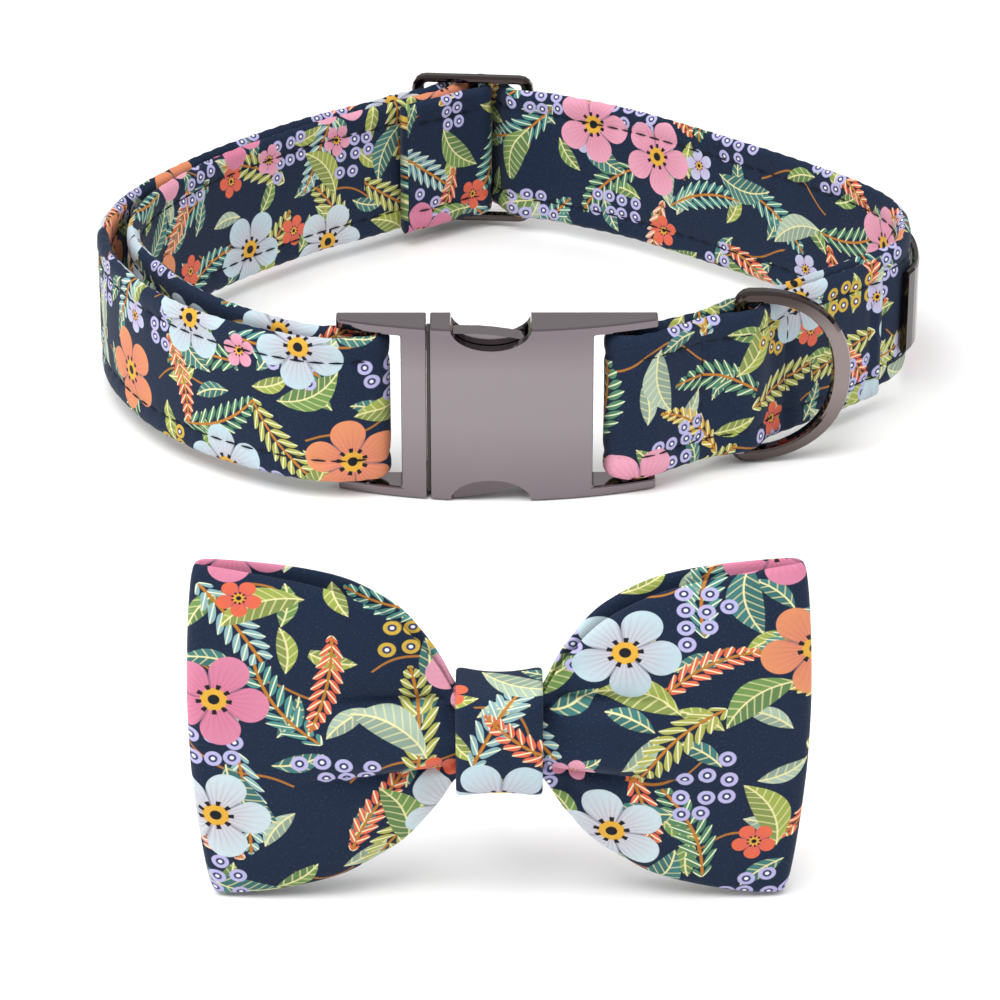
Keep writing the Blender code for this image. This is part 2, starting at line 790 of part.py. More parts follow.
def bow_rows(out):
    """Heights of the bow's rows at a share of its half width, from the lower to the upper edge."""
    top = read_table(BOW_SECTIONS, out, 1) * BOW_HEIGHT
    bottom = -read_table(BOW_SECTIONS, out, 2) * BOW_HEIGHT
    full = (PLEATS[-1][0] + PLEAT_MARGIN) * PLEAT_DEPTH
    squeeze = min(1.0, top / full)
    middle = [up * PLEAT_DEPTH * squeeze for up, _ in PLEATS]
    rows = []
    for index in range(EDGE_ROWS):
        rows.append(bottom + (middle[0] - bottom) * index / EDGE_ROWS)
    rows += middle
    for index in range(1, EDGE_ROWS + 1):
        rows.append(middle[-1] + (top - middle[-1]) * index / EDGE_ROWS)
    return rows, top, bottom


def bow_fold(out, row):
    """How far a row of the bow is pleated forward or back at a share of its half width."""
    fade = 1 - smoothstep((out - PLEAT_START) / (PLEAT_END - PLEAT_START))
    place = row - EDGE_ROWS
    if 0 <= place < len(PLEATS):
        return PLEATS[place][1] * PLEAT_DEPTH * fade
    return 0.0


def bow_station(out, facing):
    """Points of one upright row of the bow's outer face; facing is -1 in front and 1 behind."""
    rows, top, bottom = bow_rows(out)
    depth = read_table(BOW_SECTIONS, out, 3) * BOW_WALL
    lean = read_table(BOW_SECTIONS, out, 4) * BOW_WALL
    points = []
    for index, up in enumerate(rows):
        share = up / top if up > 0 else up / bottom
        puff = depth * (1 - BOW_EDGE_THINNING * share * share * smoothstep(out * 3))
        y = facing * puff + bow_fold(out, index) + lean * share * share
        corner = BOW_EDGE_BOW * share * share - BOW_TAPER * share * (1 if up > 0 else -1)
        x = out * BOW_WIDTH / 2 - corner * out ** 3
        points.append(Vector((x, y, up)))
    return points


def mirrored(points):
    return [Vector((-point.x, point.y, point.z)) for point in points]


def bow_loop():
    """Upright rows all the way round the bow: right front, right fold, back, left fold, left front."""
    front = [bow_station(out, -1) for out in BOW_COLUMNS]
    back = [bow_station(out, 1) for out in BOW_COLUMNS]
    last_front = front[-1]
    last_back = back[-1]
    fold = []
    for index in range(1, BOW_FOLD_STEPS):
        angle = pi * index / BOW_FOLD_STEPS
        ring = []
        for a, b in zip(last_front, last_back):
            middle = (a + b) / 2
            reach = (b - a).length / 2
            side = Vector((sin(angle) * reach, -cos(angle) * reach, 0.0))
            ring.append(middle + side)
        fold.append(ring)
    right = front + fold + list(reversed(back))
    left = [mirrored(ring) for ring in reversed(right[1:-1])]
    return right + left


def make_bow_body():
    """The pinched loop of cloth that makes both wings, hollow from top to bottom."""
    rings = bow_loop()
    count = len(rings)
    rows = len(rings[0])
    inner = []
    for index, ring in enumerate(rings):
        before = rings[index - 1]
        after = rings[(index + 1) % count]
        line = []
        for row in range(rows):
            along = after[row] - before[row]
            up = ring[min(row + 1, rows - 1)] - ring[max(row - 1, 0)]
            normal = along.cross(up).normalized()
            line.append(ring[row] - normal * BOW_WALL)
        inner.append(line)
    sections = [outer + list(reversed(inside)) for outer, inside in zip(rings, inner)]
    bow = new_object("bow_body", loft(sections, closed=True), (0.02, 0.03, 0.07), 0.0, 0.8)
    shade_round(bow, radians(50.0))
    return bow


def band_ring(x, half_y_front, half_y_back, half_z, corner, wall, steps=3):
    """Outer and inner points of a band wrapped round the bow's middle, at one x."""
    outer = []
    inner = []
    for quarter in range(4):
        for index in range(steps + 1):
            angle = pi / 2 * (quarter + index / steps)
            back = half_y_back - corner if quarter in (0, 3) else corner - half_y_front
            up = half_z - corner if quarter in (0, 1) else corner - half_z
            way = Vector((0.0, cos(angle), sin(angle)))
            centre = Vector((x, back, up))
            outer.append(centre + way * corner)
            inner.append(centre + way * (corner - wall))
    return outer, inner


def make_band(name, width, shape, colour):
    """A closed band round the X axis, from a function that gives its section at a share of its width."""
    steps = 6
    outside = []
    inside = []
    for index in range(steps + 1):
        share = 2 * index / steps - 1
        outer, inner = shape(share, share * width / 2)
        outside.append(outer)
        inside.append(inner)
    columns = []
    for index in range(len(outside[0])):
        column = [ring[index] for ring in outside]
        column += [ring[index] for ring in reversed(inside)]
        columns.append(column)
    band = new_object(name, loft(columns, closed=True), colour, 0.0, 0.8)
    shade_round(band)
    return band


def core_half_depth():
    """Half the depth of the pleated cloth inside the knot."""
    deepest = max(abs(depth) for _, depth in PLEATS) * PLEAT_DEPTH
    return BOW_SECTIONS[0][3] * BOW_WALL + deepest


def make_knot():
    half_depth = core_half_depth() + GAP + KNOT_WALL

    def shape(share, x):
        half_z = KNOT_HEIGHT / 2 - KNOT_WAIST * (1 - share * share)
        swell = KNOT_SWELL * (1 - share * share)
        return band_ring(x, half_depth + swell, half_depth, half_z, KNOT_CORNER, KNOT_WALL)

    return make_band("bow_knot", KNOT_WIDTH, shape, (0.02, 0.03, 0.07))


def make_keeper():
    depth = KEEPER_OPENING + 2 * KEEPER_WALL

    def shape(share, x):
        return band_ring(x, depth / 2, depth / 2, KEEPER_HEIGHT / 2, KEEPER_CORNER, KEEPER_WALL)

    return make_band("bow_keeper", KEEPER_WIDTH, shape, (0.02, 0.02, 0.03))


def place_bow():
    """Makes the bow's pieces and stands them on the floor in front of the collar."""
    _, _, bottom = bow_rows(BOW_COLUMNS[-1])
    body = make_bow_body()
    knot = make_knot()
    keeper = make_keeper()
    behind = core_half_depth() + 2 * GAP + KNOT_WALL + KEEPER_OPENING / 2 + KEEPER_WALL
    body.location = (BOW_PLACE_X, BOW_PLACE_Y, -bottom)
    knot.location = (BOW_PLACE_X, BOW_PLACE_Y, KNOT_LIFT - bottom)
    keeper.location = (BOW_PLACE_X, BOW_PLACE_Y + behind, KNOT_LIFT - KEEPER_DROP - bottom)
    return [body, knot, keeper]


def centre_on_floor(pieces):
    """Moves everything so that the middle of its box stands at the origin, on the floor."""
    bpy.context.view_layer.update()
    corners = [piece.matrix_world @ Vector(corner) for piece in pieces for corner in piece.bound_box]
    low = [min(corner[axis] for corner in corners) for axis in range(3)]
    high = [max(corner[axis] for corner in corners) for axis in range(3)]
    for piece in pieces:
        piece.location.x -= (low[0] + high[0]) / 2
        piece.location.y -= (low[1] + high[1]) / 2
        piece.location.z -= low[2]


for old in list(bpy.data.objects):
    bpy.data.objects.remove(old)

made = [make_strap(), make_housing(), make_latch(), make_slider(), make_ring(), make_side_plate()]
made += place_bow()
centre_on_floor(made)
for piece in made:
    print(piece.name, "at", [round(value / MM, 3) for value in piece.location])
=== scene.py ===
# %% [markdown]
# # A pet collar with a bow tie
# The frame is the measured model of the object: every hard piece has its real size and place there.
# This script dresses it: the strap and the bow become sewn, printed cloth, and the fittings become
# polished dark metal. The frame's own box is kept, so that the dressed model can be compared with it.
# Lengths are in metres, and most are written as millimetres times MM.

# %% Load the frame
import json
from math import atan2, cos, exp, pi, radians, sin

import bmesh
import bpy
from mathutils import Matrix, Vector


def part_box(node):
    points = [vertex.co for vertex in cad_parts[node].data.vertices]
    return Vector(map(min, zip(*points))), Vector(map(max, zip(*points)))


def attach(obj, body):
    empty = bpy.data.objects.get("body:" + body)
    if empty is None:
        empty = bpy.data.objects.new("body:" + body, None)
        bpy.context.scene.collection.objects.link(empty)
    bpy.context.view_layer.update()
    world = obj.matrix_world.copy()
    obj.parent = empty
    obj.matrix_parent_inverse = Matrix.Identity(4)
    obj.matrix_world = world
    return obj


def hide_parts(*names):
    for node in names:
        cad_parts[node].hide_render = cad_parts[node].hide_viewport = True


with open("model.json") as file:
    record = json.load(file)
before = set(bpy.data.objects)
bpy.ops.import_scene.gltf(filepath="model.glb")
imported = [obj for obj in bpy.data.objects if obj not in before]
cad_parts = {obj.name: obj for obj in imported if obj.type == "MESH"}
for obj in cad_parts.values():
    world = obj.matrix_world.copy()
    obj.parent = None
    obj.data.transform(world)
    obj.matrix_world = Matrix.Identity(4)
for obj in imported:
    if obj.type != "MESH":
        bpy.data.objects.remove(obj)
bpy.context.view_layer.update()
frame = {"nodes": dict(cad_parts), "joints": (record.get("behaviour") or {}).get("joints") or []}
MM = 0.001

# %% [markdown]
# ## Camera
# The photograph looks down on the collar from a little above, through a long lens, so the loop's back
# looks almost as wide as its front. The place and the angle come from a camera fitted to the buckle,
# the loop and the bow, and the axis goes through the middle of the picture.

# %% Camera
CAMERA_PLACE = Vector((-2.8, -564.6, 272.1)) * MM
CAMERA_DOWN = radians(25.75)
CAMERA_RIGHT = radians(0.117)
LENS = 141.2

camera_data = bpy.data.cameras.new("camera")
camera_data.sensor_width = 36.0
camera_data.lens = LENS
camera_data.clip_end = 20.0
camera = bpy.data.objects.new("camera", camera_data)
camera.location = CAMERA_PLACE
camera.rotation_euler = (pi / 2 - CAMERA_DOWN, 0.0, -CAMERA_RIGHT)
bpy.context.collection.objects.link(camera)
bpy.context.scene.camera = camera
print("camera stands", round(CAMERA_PLACE.length, 3), "m from the object's middle")

# %% [markdown]
# ## Colours and nodes
# Every colour is written as the hex code that a colour picker shows. A shader works in linear light, so
# one function turns the code into linear values. A material is a tree of nodes, and one function adds a
# node with its settings and its links, so a tree reads from top to bottom like the layers of a finish.

# %% Colour and node helpers
def linear(code):
    """A colour written as sRGB hex, turned into the linear values that a shader works in."""
    values = [int(code[i:i + 2], 16) / 255 for i in (1, 3, 5)]
    return tuple(v / 12.92 if v <= 0.04045 else ((v + 0.055) / 1.055) ** 2.4 for v in values) + (1.0,)


def add(tree, kind, inputs=None, **settings):
    """Adds a node with its settings; inputs maps a socket's name or number to a value or a socket."""
    node = tree.nodes.new("ShaderNode" + kind)
    for name, value in settings.items():
        setattr(node, name, value)
    for name, value in (inputs or {}).items():
        if isinstance(value, bpy.types.NodeSocket):
            tree.links.new(value, node.inputs[name])
        else:
            node.inputs[name].default_value = value
    return node.outputs[0]


def fill_ramp(socket, stops, interpolation="LINEAR"):
    """Sets the colours of the ramp that a socket comes from, as (position, hex) pairs."""
    ramp = socket.node.color_ramp
    ramp.interpolation = interpolation
    while len(ramp.elements) < len(stops):
        ramp.elements.new(1.0)
    for element, (position, code) in zip(ramp.elements, stops):
        element.position = position
        element.color = linear(code)
    return socket


def new_material(name):
    """A material with its surface node, and the node tree to add to."""
    material = bpy.data.materials.new(name)
    material.use_nodes = True
    return material, material.node_tree, material.node_tree.nodes["Principled BSDF"]


print("mid grey in linear light:", round(linear("#808080")[0], 3))

# %% [markdown]
# ## New pieces
# A new piece is shaped as a bmesh, which is Blender's mesh for editing, and then stored as an object.
# Every piece of the collar rides on a body of the frame, so that it moves with it. Points closer than
# the weld distance count as one.

# %% New pieces
WELD = 0.002 * MM


def new_piece(name, mesh, body="collar", smooth=True):
    """An object from a bmesh that is used up, riding on a body of the frame."""
    mesh.normal_update()
    data = bpy.data.meshes.new(name)
    mesh.to_mesh(data)
    mesh.free()
    for face in data.polygons:
        face.use_smooth = smooth
    piece = bpy.data.objects.new(name, data)
    bpy.context.collection.objects.link(piece)
    if body:
        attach(piece, body)
    return piece


print("pieces in the frame:", len(frame["nodes"]))

# %% [markdown]
# ## Floor
# The collar lies on a large sheet of matt white paper. One flat square is enough, because the paper's
# edges are far outside the picture. It lies a hair below the collar, so that the two never flicker.

# %% Floor
FLOOR_HALF = 3.0
FLOOR_DROP = 0.2 * MM
floor_mesh = bmesh.new()
bmesh.ops.create_grid(floor_mesh, x_segments=1, y_segments=1, size=FLOOR_HALF)
floor = new_piece("floor", floor_mesh, body=None)
floor.location.z = -FLOOR_DROP
floor_material, _, floor_surface = new_material("white_photo_paper")
floor_surface.inputs["Base Color"].default_value = linear("#fbfbfb")
floor_surface.inputs["Roughness"].default_value = 0.9
floor.data.materials.append(floor_material)
print("paper is", 2 * FLOOR_HALF, "m wide")

# %% [markdown]
# ## Lamps
# A product photographer lights such a set with wide soft boxes, which give soft shadows and long clean
# reflections in the metal. One stands high in front, and one on each side. Area lamps do the same.

# %% Lamps
def soft_lamp(name, place, width, height, watts):
    """A rectangular soft lamp that faces the object."""
    data = bpy.data.lights.new(name, "AREA")
    data.shape = "RECTANGLE"
    data.size = width
    data.size_y = height
    data.energy = watts
    lamp = bpy.data.objects.new(name, data)
    lamp.location = place
    lamp.rotation_euler = (-Vector(place)).to_track_quat("-Z", "Y").to_euler()
    bpy.context.collection.objects.link(lamp)


soft_lamp("lamp_top", (-0.25, -0.35, 0.95), width=0.9, height=0.7, watts=7.5)
soft_lamp("lamp_right", (0.9, -0.2, 0.5), width=0.5, height=0.7, watts=2.6)
soft_lamp("lamp_left", (-0.9, -0.4, 0.45), width=0.5, height=0.7, watts=3.4)

# %% [markdown]
# ## Surroundings
# Polished metal shows little else than what it reflects. The surroundings are white above, as in a light
# tent, and darker near the horizon, where the room shows through. A ramp over the height of the view's
# direction gives that. Colours are shown with no film curve, so that the white paper stays white.

# %% Surroundings
SKY_STRENGTH = 0.76
world = bpy.data.worlds.new("studio")
bpy.context.scene.world = world
world.use_nodes = True
sky = world.node_tree
way = add(sky, "TexCoord")
height = add(sky, "SeparateXYZ", {0: sky.nodes[-1].outputs["Generated"]})
tent = fill_ramp(add(sky, "ValToRGB", {0: height.node.outputs["Z"]}),
                 [(0.0, "#e8e8ea"), (0.05, "#4f484b"), (0.15, "#6b6366"), (0.27, "#dad8da"),
                  (0.45, "#ffffff")])
background = sky.nodes["Background"]
sky.links.new(tent, background.inputs["Color"])
background.inputs["Strength"].default_value = SKY_STRENGTH
bpy.context.scene.view_settings.view_transform = "Standard"
print("sky colours:", len(tent.node.color_ramp.elements))

# %% [markdown]
# ## Dark plated metal
# The buckle, the slider and the D-ring are cast zinc, polished and plated in gunmetal. The plating is
# nearly a mirror, a little brown, with a faint unevenness from hand polishing and fine rubbing marks
# along the buckle, so the reflections are sharp but not perfect. The marks are drawn coarser than real
# ones, which are too fine to show. The tint deepens to the top and bottom edges: that is painted shade
# and painted reflection in the colour. The ring's wire is rounded, so its faces are shaded as one
# smooth surface.

# %% Gunmetal
CLOUD_SIZE = 50 / 3 * MM
MARK_LENGTH = 10 / 3 * MM
MARK_WIDTH = 0.4 * MM
housing_low, housing_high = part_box("buckle_housing")


def gunmetal(name, tint, deep):
    """Plated metal with a tint in the middle of the buckle's height and a deeper one at its edges, the deeper
    one painted shade and reflection.
    """
    material, tree, surface = new_material(name)
    place = add(tree, "TexCoord").node.outputs["Object"]
    cloud = add(tree, "TexNoise", {"Vector": place, "Scale": 1 / CLOUD_SIZE, "Detail": 3.0})
    rise = add(tree, "SeparateXYZ", {0: place}).node.outputs[2]
    # painted shade and reflection: the colour darkens towards the top and bottom of the buckle's height, on
    # top of the random unevenness
    level = add(tree, "MapRange", {0: rise, 1: housing_low.z, 2: housing_high.z, 3: 0.0, 4: 1.0})
    unevenness_and_painted_shade = add(tree, "Math", {0: cloud, 1: 0.12, 2: level}, operation="MULTIPLY_ADD")
    colour = fill_ramp(add(tree, "ValToRGB", {0: unevenness_and_painted_shade}),
                       [(0.05, deep), (0.5, tint), (0.8, tint), (1.04, deep)])
    tree.links.new(colour, surface.inputs["Base Color"])
    stretched = add(tree, "Mapping", {"Vector": place,
                                      "Scale": (1 / MARK_LENGTH, 1 / MARK_WIDTH, 1 / MARK_WIDTH)})
    rubbing = add(tree, "TexNoise", {"Vector": stretched, "Scale": 1.0, "Detail": 2.0})
    rough = add(tree, "MapRange", {0: rubbing, 1: 0.3, 2: 0.8, 3: 0.07, 4: 0.15})
    tree.links.new(rough, surface.inputs["Roughness"])
    bump = add(tree, "Bump", {"Height": cloud, "Strength": 0.02, "Distance": 0.2 * MM})
    tree.links.new(bump, surface.inputs["Normal"])
    surface.inputs["Metallic"].default_value = 1.0
    return material


buckle_metal = gunmetal("gunmetal_plated_zinc", "#8d8588", "#7b7276")
# The wire's deep tint is much darker: painted shade and reflection that give the ring and the slider their
# contrast.
ring_metal = gunmetal("gunmetal_plated_wire", "#8a7e7d", "#4a413f")
# A dark metal with painted reflection and shade: the side plate's face is coloured as dark as the reflection
# it shows, and the latch's shoulder as dark as the shade in the slit.
dark_painted_metal = gunmetal("gunmetal_painted_dark", "#4a4243", "#3b3435")
fittings = {"buckle_housing": buckle_metal, "buckle_latch": buckle_metal, "slider": ring_metal,
            "d_ring": ring_metal, "side_plate": dark_painted_metal}
for node, metal in fittings.items():
    piece = frame["nodes"][node]
    piece.data.materials.clear()
    piece.data.materials.append(metal)
for face in frame["nodes"]["d_ring"].data.polygons:
    face.use_smooth = True
print("metal pieces dressed:", len(fittings))

# %% [markdown]
# ### Behind the buckle's front
# Two small forms of the latch show through the housing's openings. A shoulder stands behind the slit
# between the halves, so the slit is dark, and the lower release catch fills most of the lower notch
# and slopes up to a tip. Both are a little behind the housing's front, which is read from the frame.
# Both are also coloured darker than the buckle, as painted shade in the slit and in the notch.

# %% Buckle details
SLIT_WIDTH = 0.5 * MM
SHOULDER_BEHIND = 1.2 * MM
SHOULDER_DEPTH = 3.0 * MM
SHOULDER_ENDS = 0.9 * MM
SHOULDER_LAP = 0.1 * MM
NOTCH_START = 3.2 * MM
NOTCH_WIDTH = 12.8 * MM
NOTCH_DEPTH = 3.6 * MM
CATCH_START = 0.4 * MM
CATCH_LENGTH = 10.4 * MM
CATCH_LOW = 0.3 * MM
CATCH_RISE = 2.25 * MM
CATCH_BEHIND = 0.5 * MM
CATCH_DEPTH = 2.4 * MM
CATCH_GAP = 0.26 * MM
CATCH_COLUMNS = 16
housing = frame["nodes"]["buckle_housing"]
notch_middle = housing_low.x + NOTCH_START + NOTCH_WIDTH / 2


def front_of(x, z):
    """How far forward the housing's front face stands at a place."""
    back_to_own = housing.matrix_world.inverted()
    start = back_to_own @ Vector((x, housing_low.y - 10 * MM, z))
    hit, place, _, _ = housing.ray_cast(start, back_to_own.to_3x3() @ Vector((0.0, 1.0, 0.0)))
    return (housing.matrix_world @ place).y if hit else housing_low.y


def catch_point(share, upper):
    """A point of the catch's front: its lower edge slopes up, its upper edge follows the notch."""
    x = notch_middle - NOTCH_WIDTH / 2 + CATCH_START + CATCH_LENGTH * share
    arc = NOTCH_DEPTH * max(1 - ((x - notch_middle) / (NOTCH_WIDTH / 2)) ** 2, 0.0) ** 0.5
    low = CATCH_LOW + CATCH_RISE * share ** 1.4
    high = max(arc - CATCH_GAP, low + 0.02 * MM)
    return Vector((x, front_of(x, arc + 1.0 * MM) + CATCH_BEHIND, high if upper else low))


print("notch middle at x", round(notch_middle / MM, 1))

# %% [markdown]
# The catch starts as a strip of faces, whose points are carried to the catch's outline and then pushed
# back as one wall. The shoulder is a plain bar.

# %% Catch and shoulder
catch_mesh = bmesh.new()
bmesh.ops.create_grid(catch_mesh, x_segments=CATCH_COLUMNS, y_segments=1, size=0.5)
for vert in catch_mesh.verts:
    vert.co = catch_point(vert.co.x + 0.5, vert.co.y > 0)
pushed = bmesh.ops.extrude_face_region(catch_mesh, geom=catch_mesh.faces[:])["geom"]
bmesh.ops.translate(catch_mesh, vec=(0.0, CATCH_DEPTH, 0.0),
                    verts=[item for item in pushed if isinstance(item, bmesh.types.BMVert)])
bmesh.ops.recalc_face_normals(catch_mesh, faces=catch_mesh.faces)
catch = new_piece("latch_lower_catch", catch_mesh, smooth=False)

slit_middle = housing_low.x - SLIT_WIDTH / 2
shoulder_front = front_of(housing_low.x + 0.5 * MM, housing_high.z / 2) + SHOULDER_BEHIND
shoulder_mesh = bmesh.new()
bmesh.ops.create_cube(shoulder_mesh, size=1.0)
bmesh.ops.scale(shoulder_mesh, verts=shoulder_mesh.verts,
                vec=(SLIT_WIDTH + SHOULDER_LAP, SHOULDER_DEPTH, housing_high.z - 2 * SHOULDER_ENDS))
bmesh.ops.translate(shoulder_mesh, verts=shoulder_mesh.verts,
                    vec=(slit_middle, shoulder_front + SHOULDER_DEPTH / 2, housing_high.z / 2))
shoulder = new_piece("latch_shoulder", shoulder_mesh, smooth=False)
# painted shade: the catch gets a darker tint than the buckle for the shade in the recessed notch, and the
# shoulder gets the dark painted metal
catch_painted_shade_metal = gunmetal("gunmetal_catch_painted_shade", "#756c6f", "#61595c")
for detail, metal in ((catch, catch_painted_shade_metal), (shoulder, dark_painted_metal)):
    detail.data.materials.append(metal)
print("catch starts at x", round(catch_point(0, False).x / MM, 1))
print("shoulder's front at y", round(shoulder_front / MM, 2))

# %% [markdown]
# ## The printed cotton
# The cloth is a light cotton, printed with flowers, leaves and berries on navy. Each kind of motif is
# drawn by distance formulas round scattered points, so it stays sharp at any size: petals round a
# centre, leaves in pairs on a stem, berries in clusters. A Voronoi texture scatters the points: each
# cell has one point and a random colour, whose channels turn, choose and tint the motif. Every length
# below is in millimetres of real cloth, and the pieces carry the cloth's own coordinates, also in
# millimetres.

# %% Motif tools
CLOTH_UV = "cloth_mm"
GROUND = "#12223a"
INK = "#15161d"


def scattered(tree, cloth, cell, spread, shift):
    """Scattered motif places: the point in each motif's own turned millimetres, and its random values."""
    moved = add(tree, "VectorMath", {0: cloth, 1: (shift, shift * 0.37, 0.0)}, operation="ADD")
    cells = add(tree, "VectorMath", {0: moved, 3: 1.0 / cell}, operation="SCALE")
    found = add(tree, "TexVoronoi", {"Vector": cells, "Scale": 1.0, "Randomness": spread},
                voronoi_dimensions="2D").node
    off = add(tree, "VectorMath", {0: cells, 1: found.outputs["Position"]}, operation="SUBTRACT")
    size = add(tree, "VectorMath", {0: off, 3: cell}, operation="SCALE")
    chance = add(tree, "SeparateColor", {0: found.outputs["Color"]}).node
    turn = add(tree, "Math", {0: chance.outputs[0], 1: 2 * pi}, operation="MULTIPLY")
    local = add(tree, "VectorRotate", {"Vector": size, "Angle": turn}, rotation_type="Z_AXIS")
    return local, chance.outputs[1], chance.outputs[2]


def sharp(tree, value, edge, width=0.12):
    """1 where a value in millimetres is below an edge, with a soft border as printed ink has."""
    return add(tree, "MapRange", {0: value, 1: edge, 2: add(tree, "Math", {0: edge, 1: width}), 3: 1.0,
                                  4: 0.0})


def both(tree, first, second):
    """Where both masks are 1, which is their product; it also scales one value by another."""
    return add(tree, "Math", {0: first, 1: second}, operation="MULTIPLY")


def over(tree, below, above, mask):
    """Prints one colour over another where the mask is 1."""
    return add(tree, "Mix", {0: mask, 6: below, 7: above}, data_type="RGBA").node.outputs[2]


print("ground colour", GROUND)

# %% [markdown]
# ### Flowers
# A flower is five petals. In polar coordinates its outline swells and shrinks five times round the
# turn. The petals are paler at the rim, streaked towards the middle, and parted by thin darker lines,
# and the centre is a small disc in a ring of dots.

# %% Flowers
PETALS = 5
STREAKS = 34
DOTS = 9


def flower_layer(tree, cloth, colour, cell, radius, share, shift, palette):
    """Prints flowers of a radius, one at most in a cell, on a share of the cells."""
    local, chance, tone = scattered(tree, cloth, cell, 0.5, shift)
    part = add(tree, "SeparateXYZ", {0: local}).node.outputs
    far = add(tree, "VectorMath", {0: local}, operation="LENGTH").node.outputs["Value"]
    turn = add(tree, "Math", {0: part[1], 1: part[0]}, operation="ARCTAN2")
    wave = add(tree, "Math", {0: turn, 1: PETALS / 2}, operation="MULTIPLY")
    lobe = add(tree, "Math", {0: add(tree, "Math", {0: wave}, operation="COSINE")}, operation="ABSOLUTE")
    swell = add(tree, "Math", {0: lobe, 1: 0.45}, operation="POWER")
    rim = add(tree, "MapRange", {0: swell, 1: 0.0, 2: 1.0, 3: radius * 0.42, 4: radius})
    inside = sharp(tree, far, rim)
    wanted = add(tree, "Math", {0: chance, 1: share}, operation="LESS_THAN")
    mask = both(tree, inside, wanted)
    petal = fill_ramp(add(tree, "ValToRGB", {0: tone}), palette, "CONSTANT")
    depth = add(tree, "MapRange", {0: far, 1: 0.1 * radius, 2: radius * 0.95, 3: 1.0, 4: 0.0})
    streaks = add(tree, "Math", {0: add(tree, "Math", {0: turn, 1: STREAKS}, operation="MULTIPLY")},
                  operation="SINE")
    streak = add(tree, "MapRange", {0: streaks, 1: 0.1, 2: 0.9, 3: 0.35, 4: 1.0})
    deep = over(tree, petal, linear("#b8506e"), 0.6)
    petal = over(tree, petal, deep, both(tree, depth, streak))
    seam = add(tree, "MapRange", {0: lobe, 1: 0.05, 2: 0.22, 3: 0.55, 4: 0.0})
    petal = over(tree, petal, linear("#4d4a63"), seam)
    colour = over(tree, colour, petal, mask)
    disc = both(tree, sharp(tree, far, radius * 0.24), wanted)
    colour = over(tree, colour, linear("#d9a63c"), disc)
    dots = add(tree, "Math", {0: add(tree, "Math", {0: turn, 1: DOTS}, operation="MULTIPLY")},
               operation="COSINE")
    dot = add(tree, "MapRange", {0: dots, 1: 0.0, 2: 0.4, 3: 0.0, 4: 1.0})
    ring = sharp(tree, add(tree, "Math", {0: add(tree, "Math", {0: far, 1: radius * 0.28},
                                                  operation="SUBTRACT")}, operation="ABSOLUTE"),
                 radius * 0.045)
    colour = over(tree, colour, linear(INK), both(tree, both(tree, ring, dot), wanted))
    return over(tree, colour, linear(INK), both(tree, sharp(tree, far, radius * 0.1), wanted))


print("petals on a flower:", PETALS)

# %% [markdown]
# ### Leaves
# A leaf is a lens with a darker half, a pale midrib and slanting veins. The blade is bent by lowering
# its middle line as the square of the distance from the leaf's centre.

# %% Leaves
VEIN_PITCH = 1.3


def leaf_layer(tree, cloth, colour, cell, length, width, share, shift, palette):
    """Prints single leaves of a length and width."""
    local, chance, tone = scattered(tree, cloth, cell, 0.6, shift)
    part = add(tree, "SeparateXYZ", {0: local}).node.outputs
    bend = both(tree, both(tree, part[0], part[0]), 0.05)
    side = add(tree, "Math", {0: part[1], 1: bend}, operation="SUBTRACT")
    along = add(tree, "Math", {0: part[0], 1: length / 2}, operation="DIVIDE")
    lens = add(tree, "Math", {0: 1.0, 1: both(tree, along, along)}, operation="SUBTRACT")
    blade = add(tree, "Math", {0: lens, 1: width / 2}, operation="MULTIPLY")
    across = add(tree, "Math", {0: side}, operation="ABSOLUTE")
    wanted = add(tree, "Math", {0: chance, 1: share}, operation="LESS_THAN")
    mask = both(tree, sharp(tree, across, blade), wanted)
    leaf = fill_ramp(add(tree, "ValToRGB", {0: tone}), palette, "CONSTANT")
    half = add(tree, "MapRange", {0: side, 1: -0.1, 2: 0.1, 3: 0.0, 4: 0.35})
    leaf = over(tree, leaf, linear("#2b4a46"), half)
    slant = add(tree, "Math", {0: across, 1: -0.8, 2: part[0]}, operation="MULTIPLY_ADD")
    vein = add(tree, "Math", {0: slant, 1: VEIN_PITCH / 2}, operation="PINGPONG")
    veins = both(tree, sharp(tree, vein, 0.08, 0.1), 0.6)
    leaf = over(tree, leaf, linear("#e3dca2"), veins)
    leaf = over(tree, leaf, linear("#e3dca2"), sharp(tree, across, 0.08, 0.1))
    return over(tree, colour, leaf, mask)


print("veins every", VEIN_PITCH, "mm")

# %% [markdown]
# ### Sprigs
# A sprig repeats small leaves in pairs along a bent stem and grows narrower to both ends. The repeat is
# a remainder along the stem, shifted with the distance from it, so that the leaves slant forward.

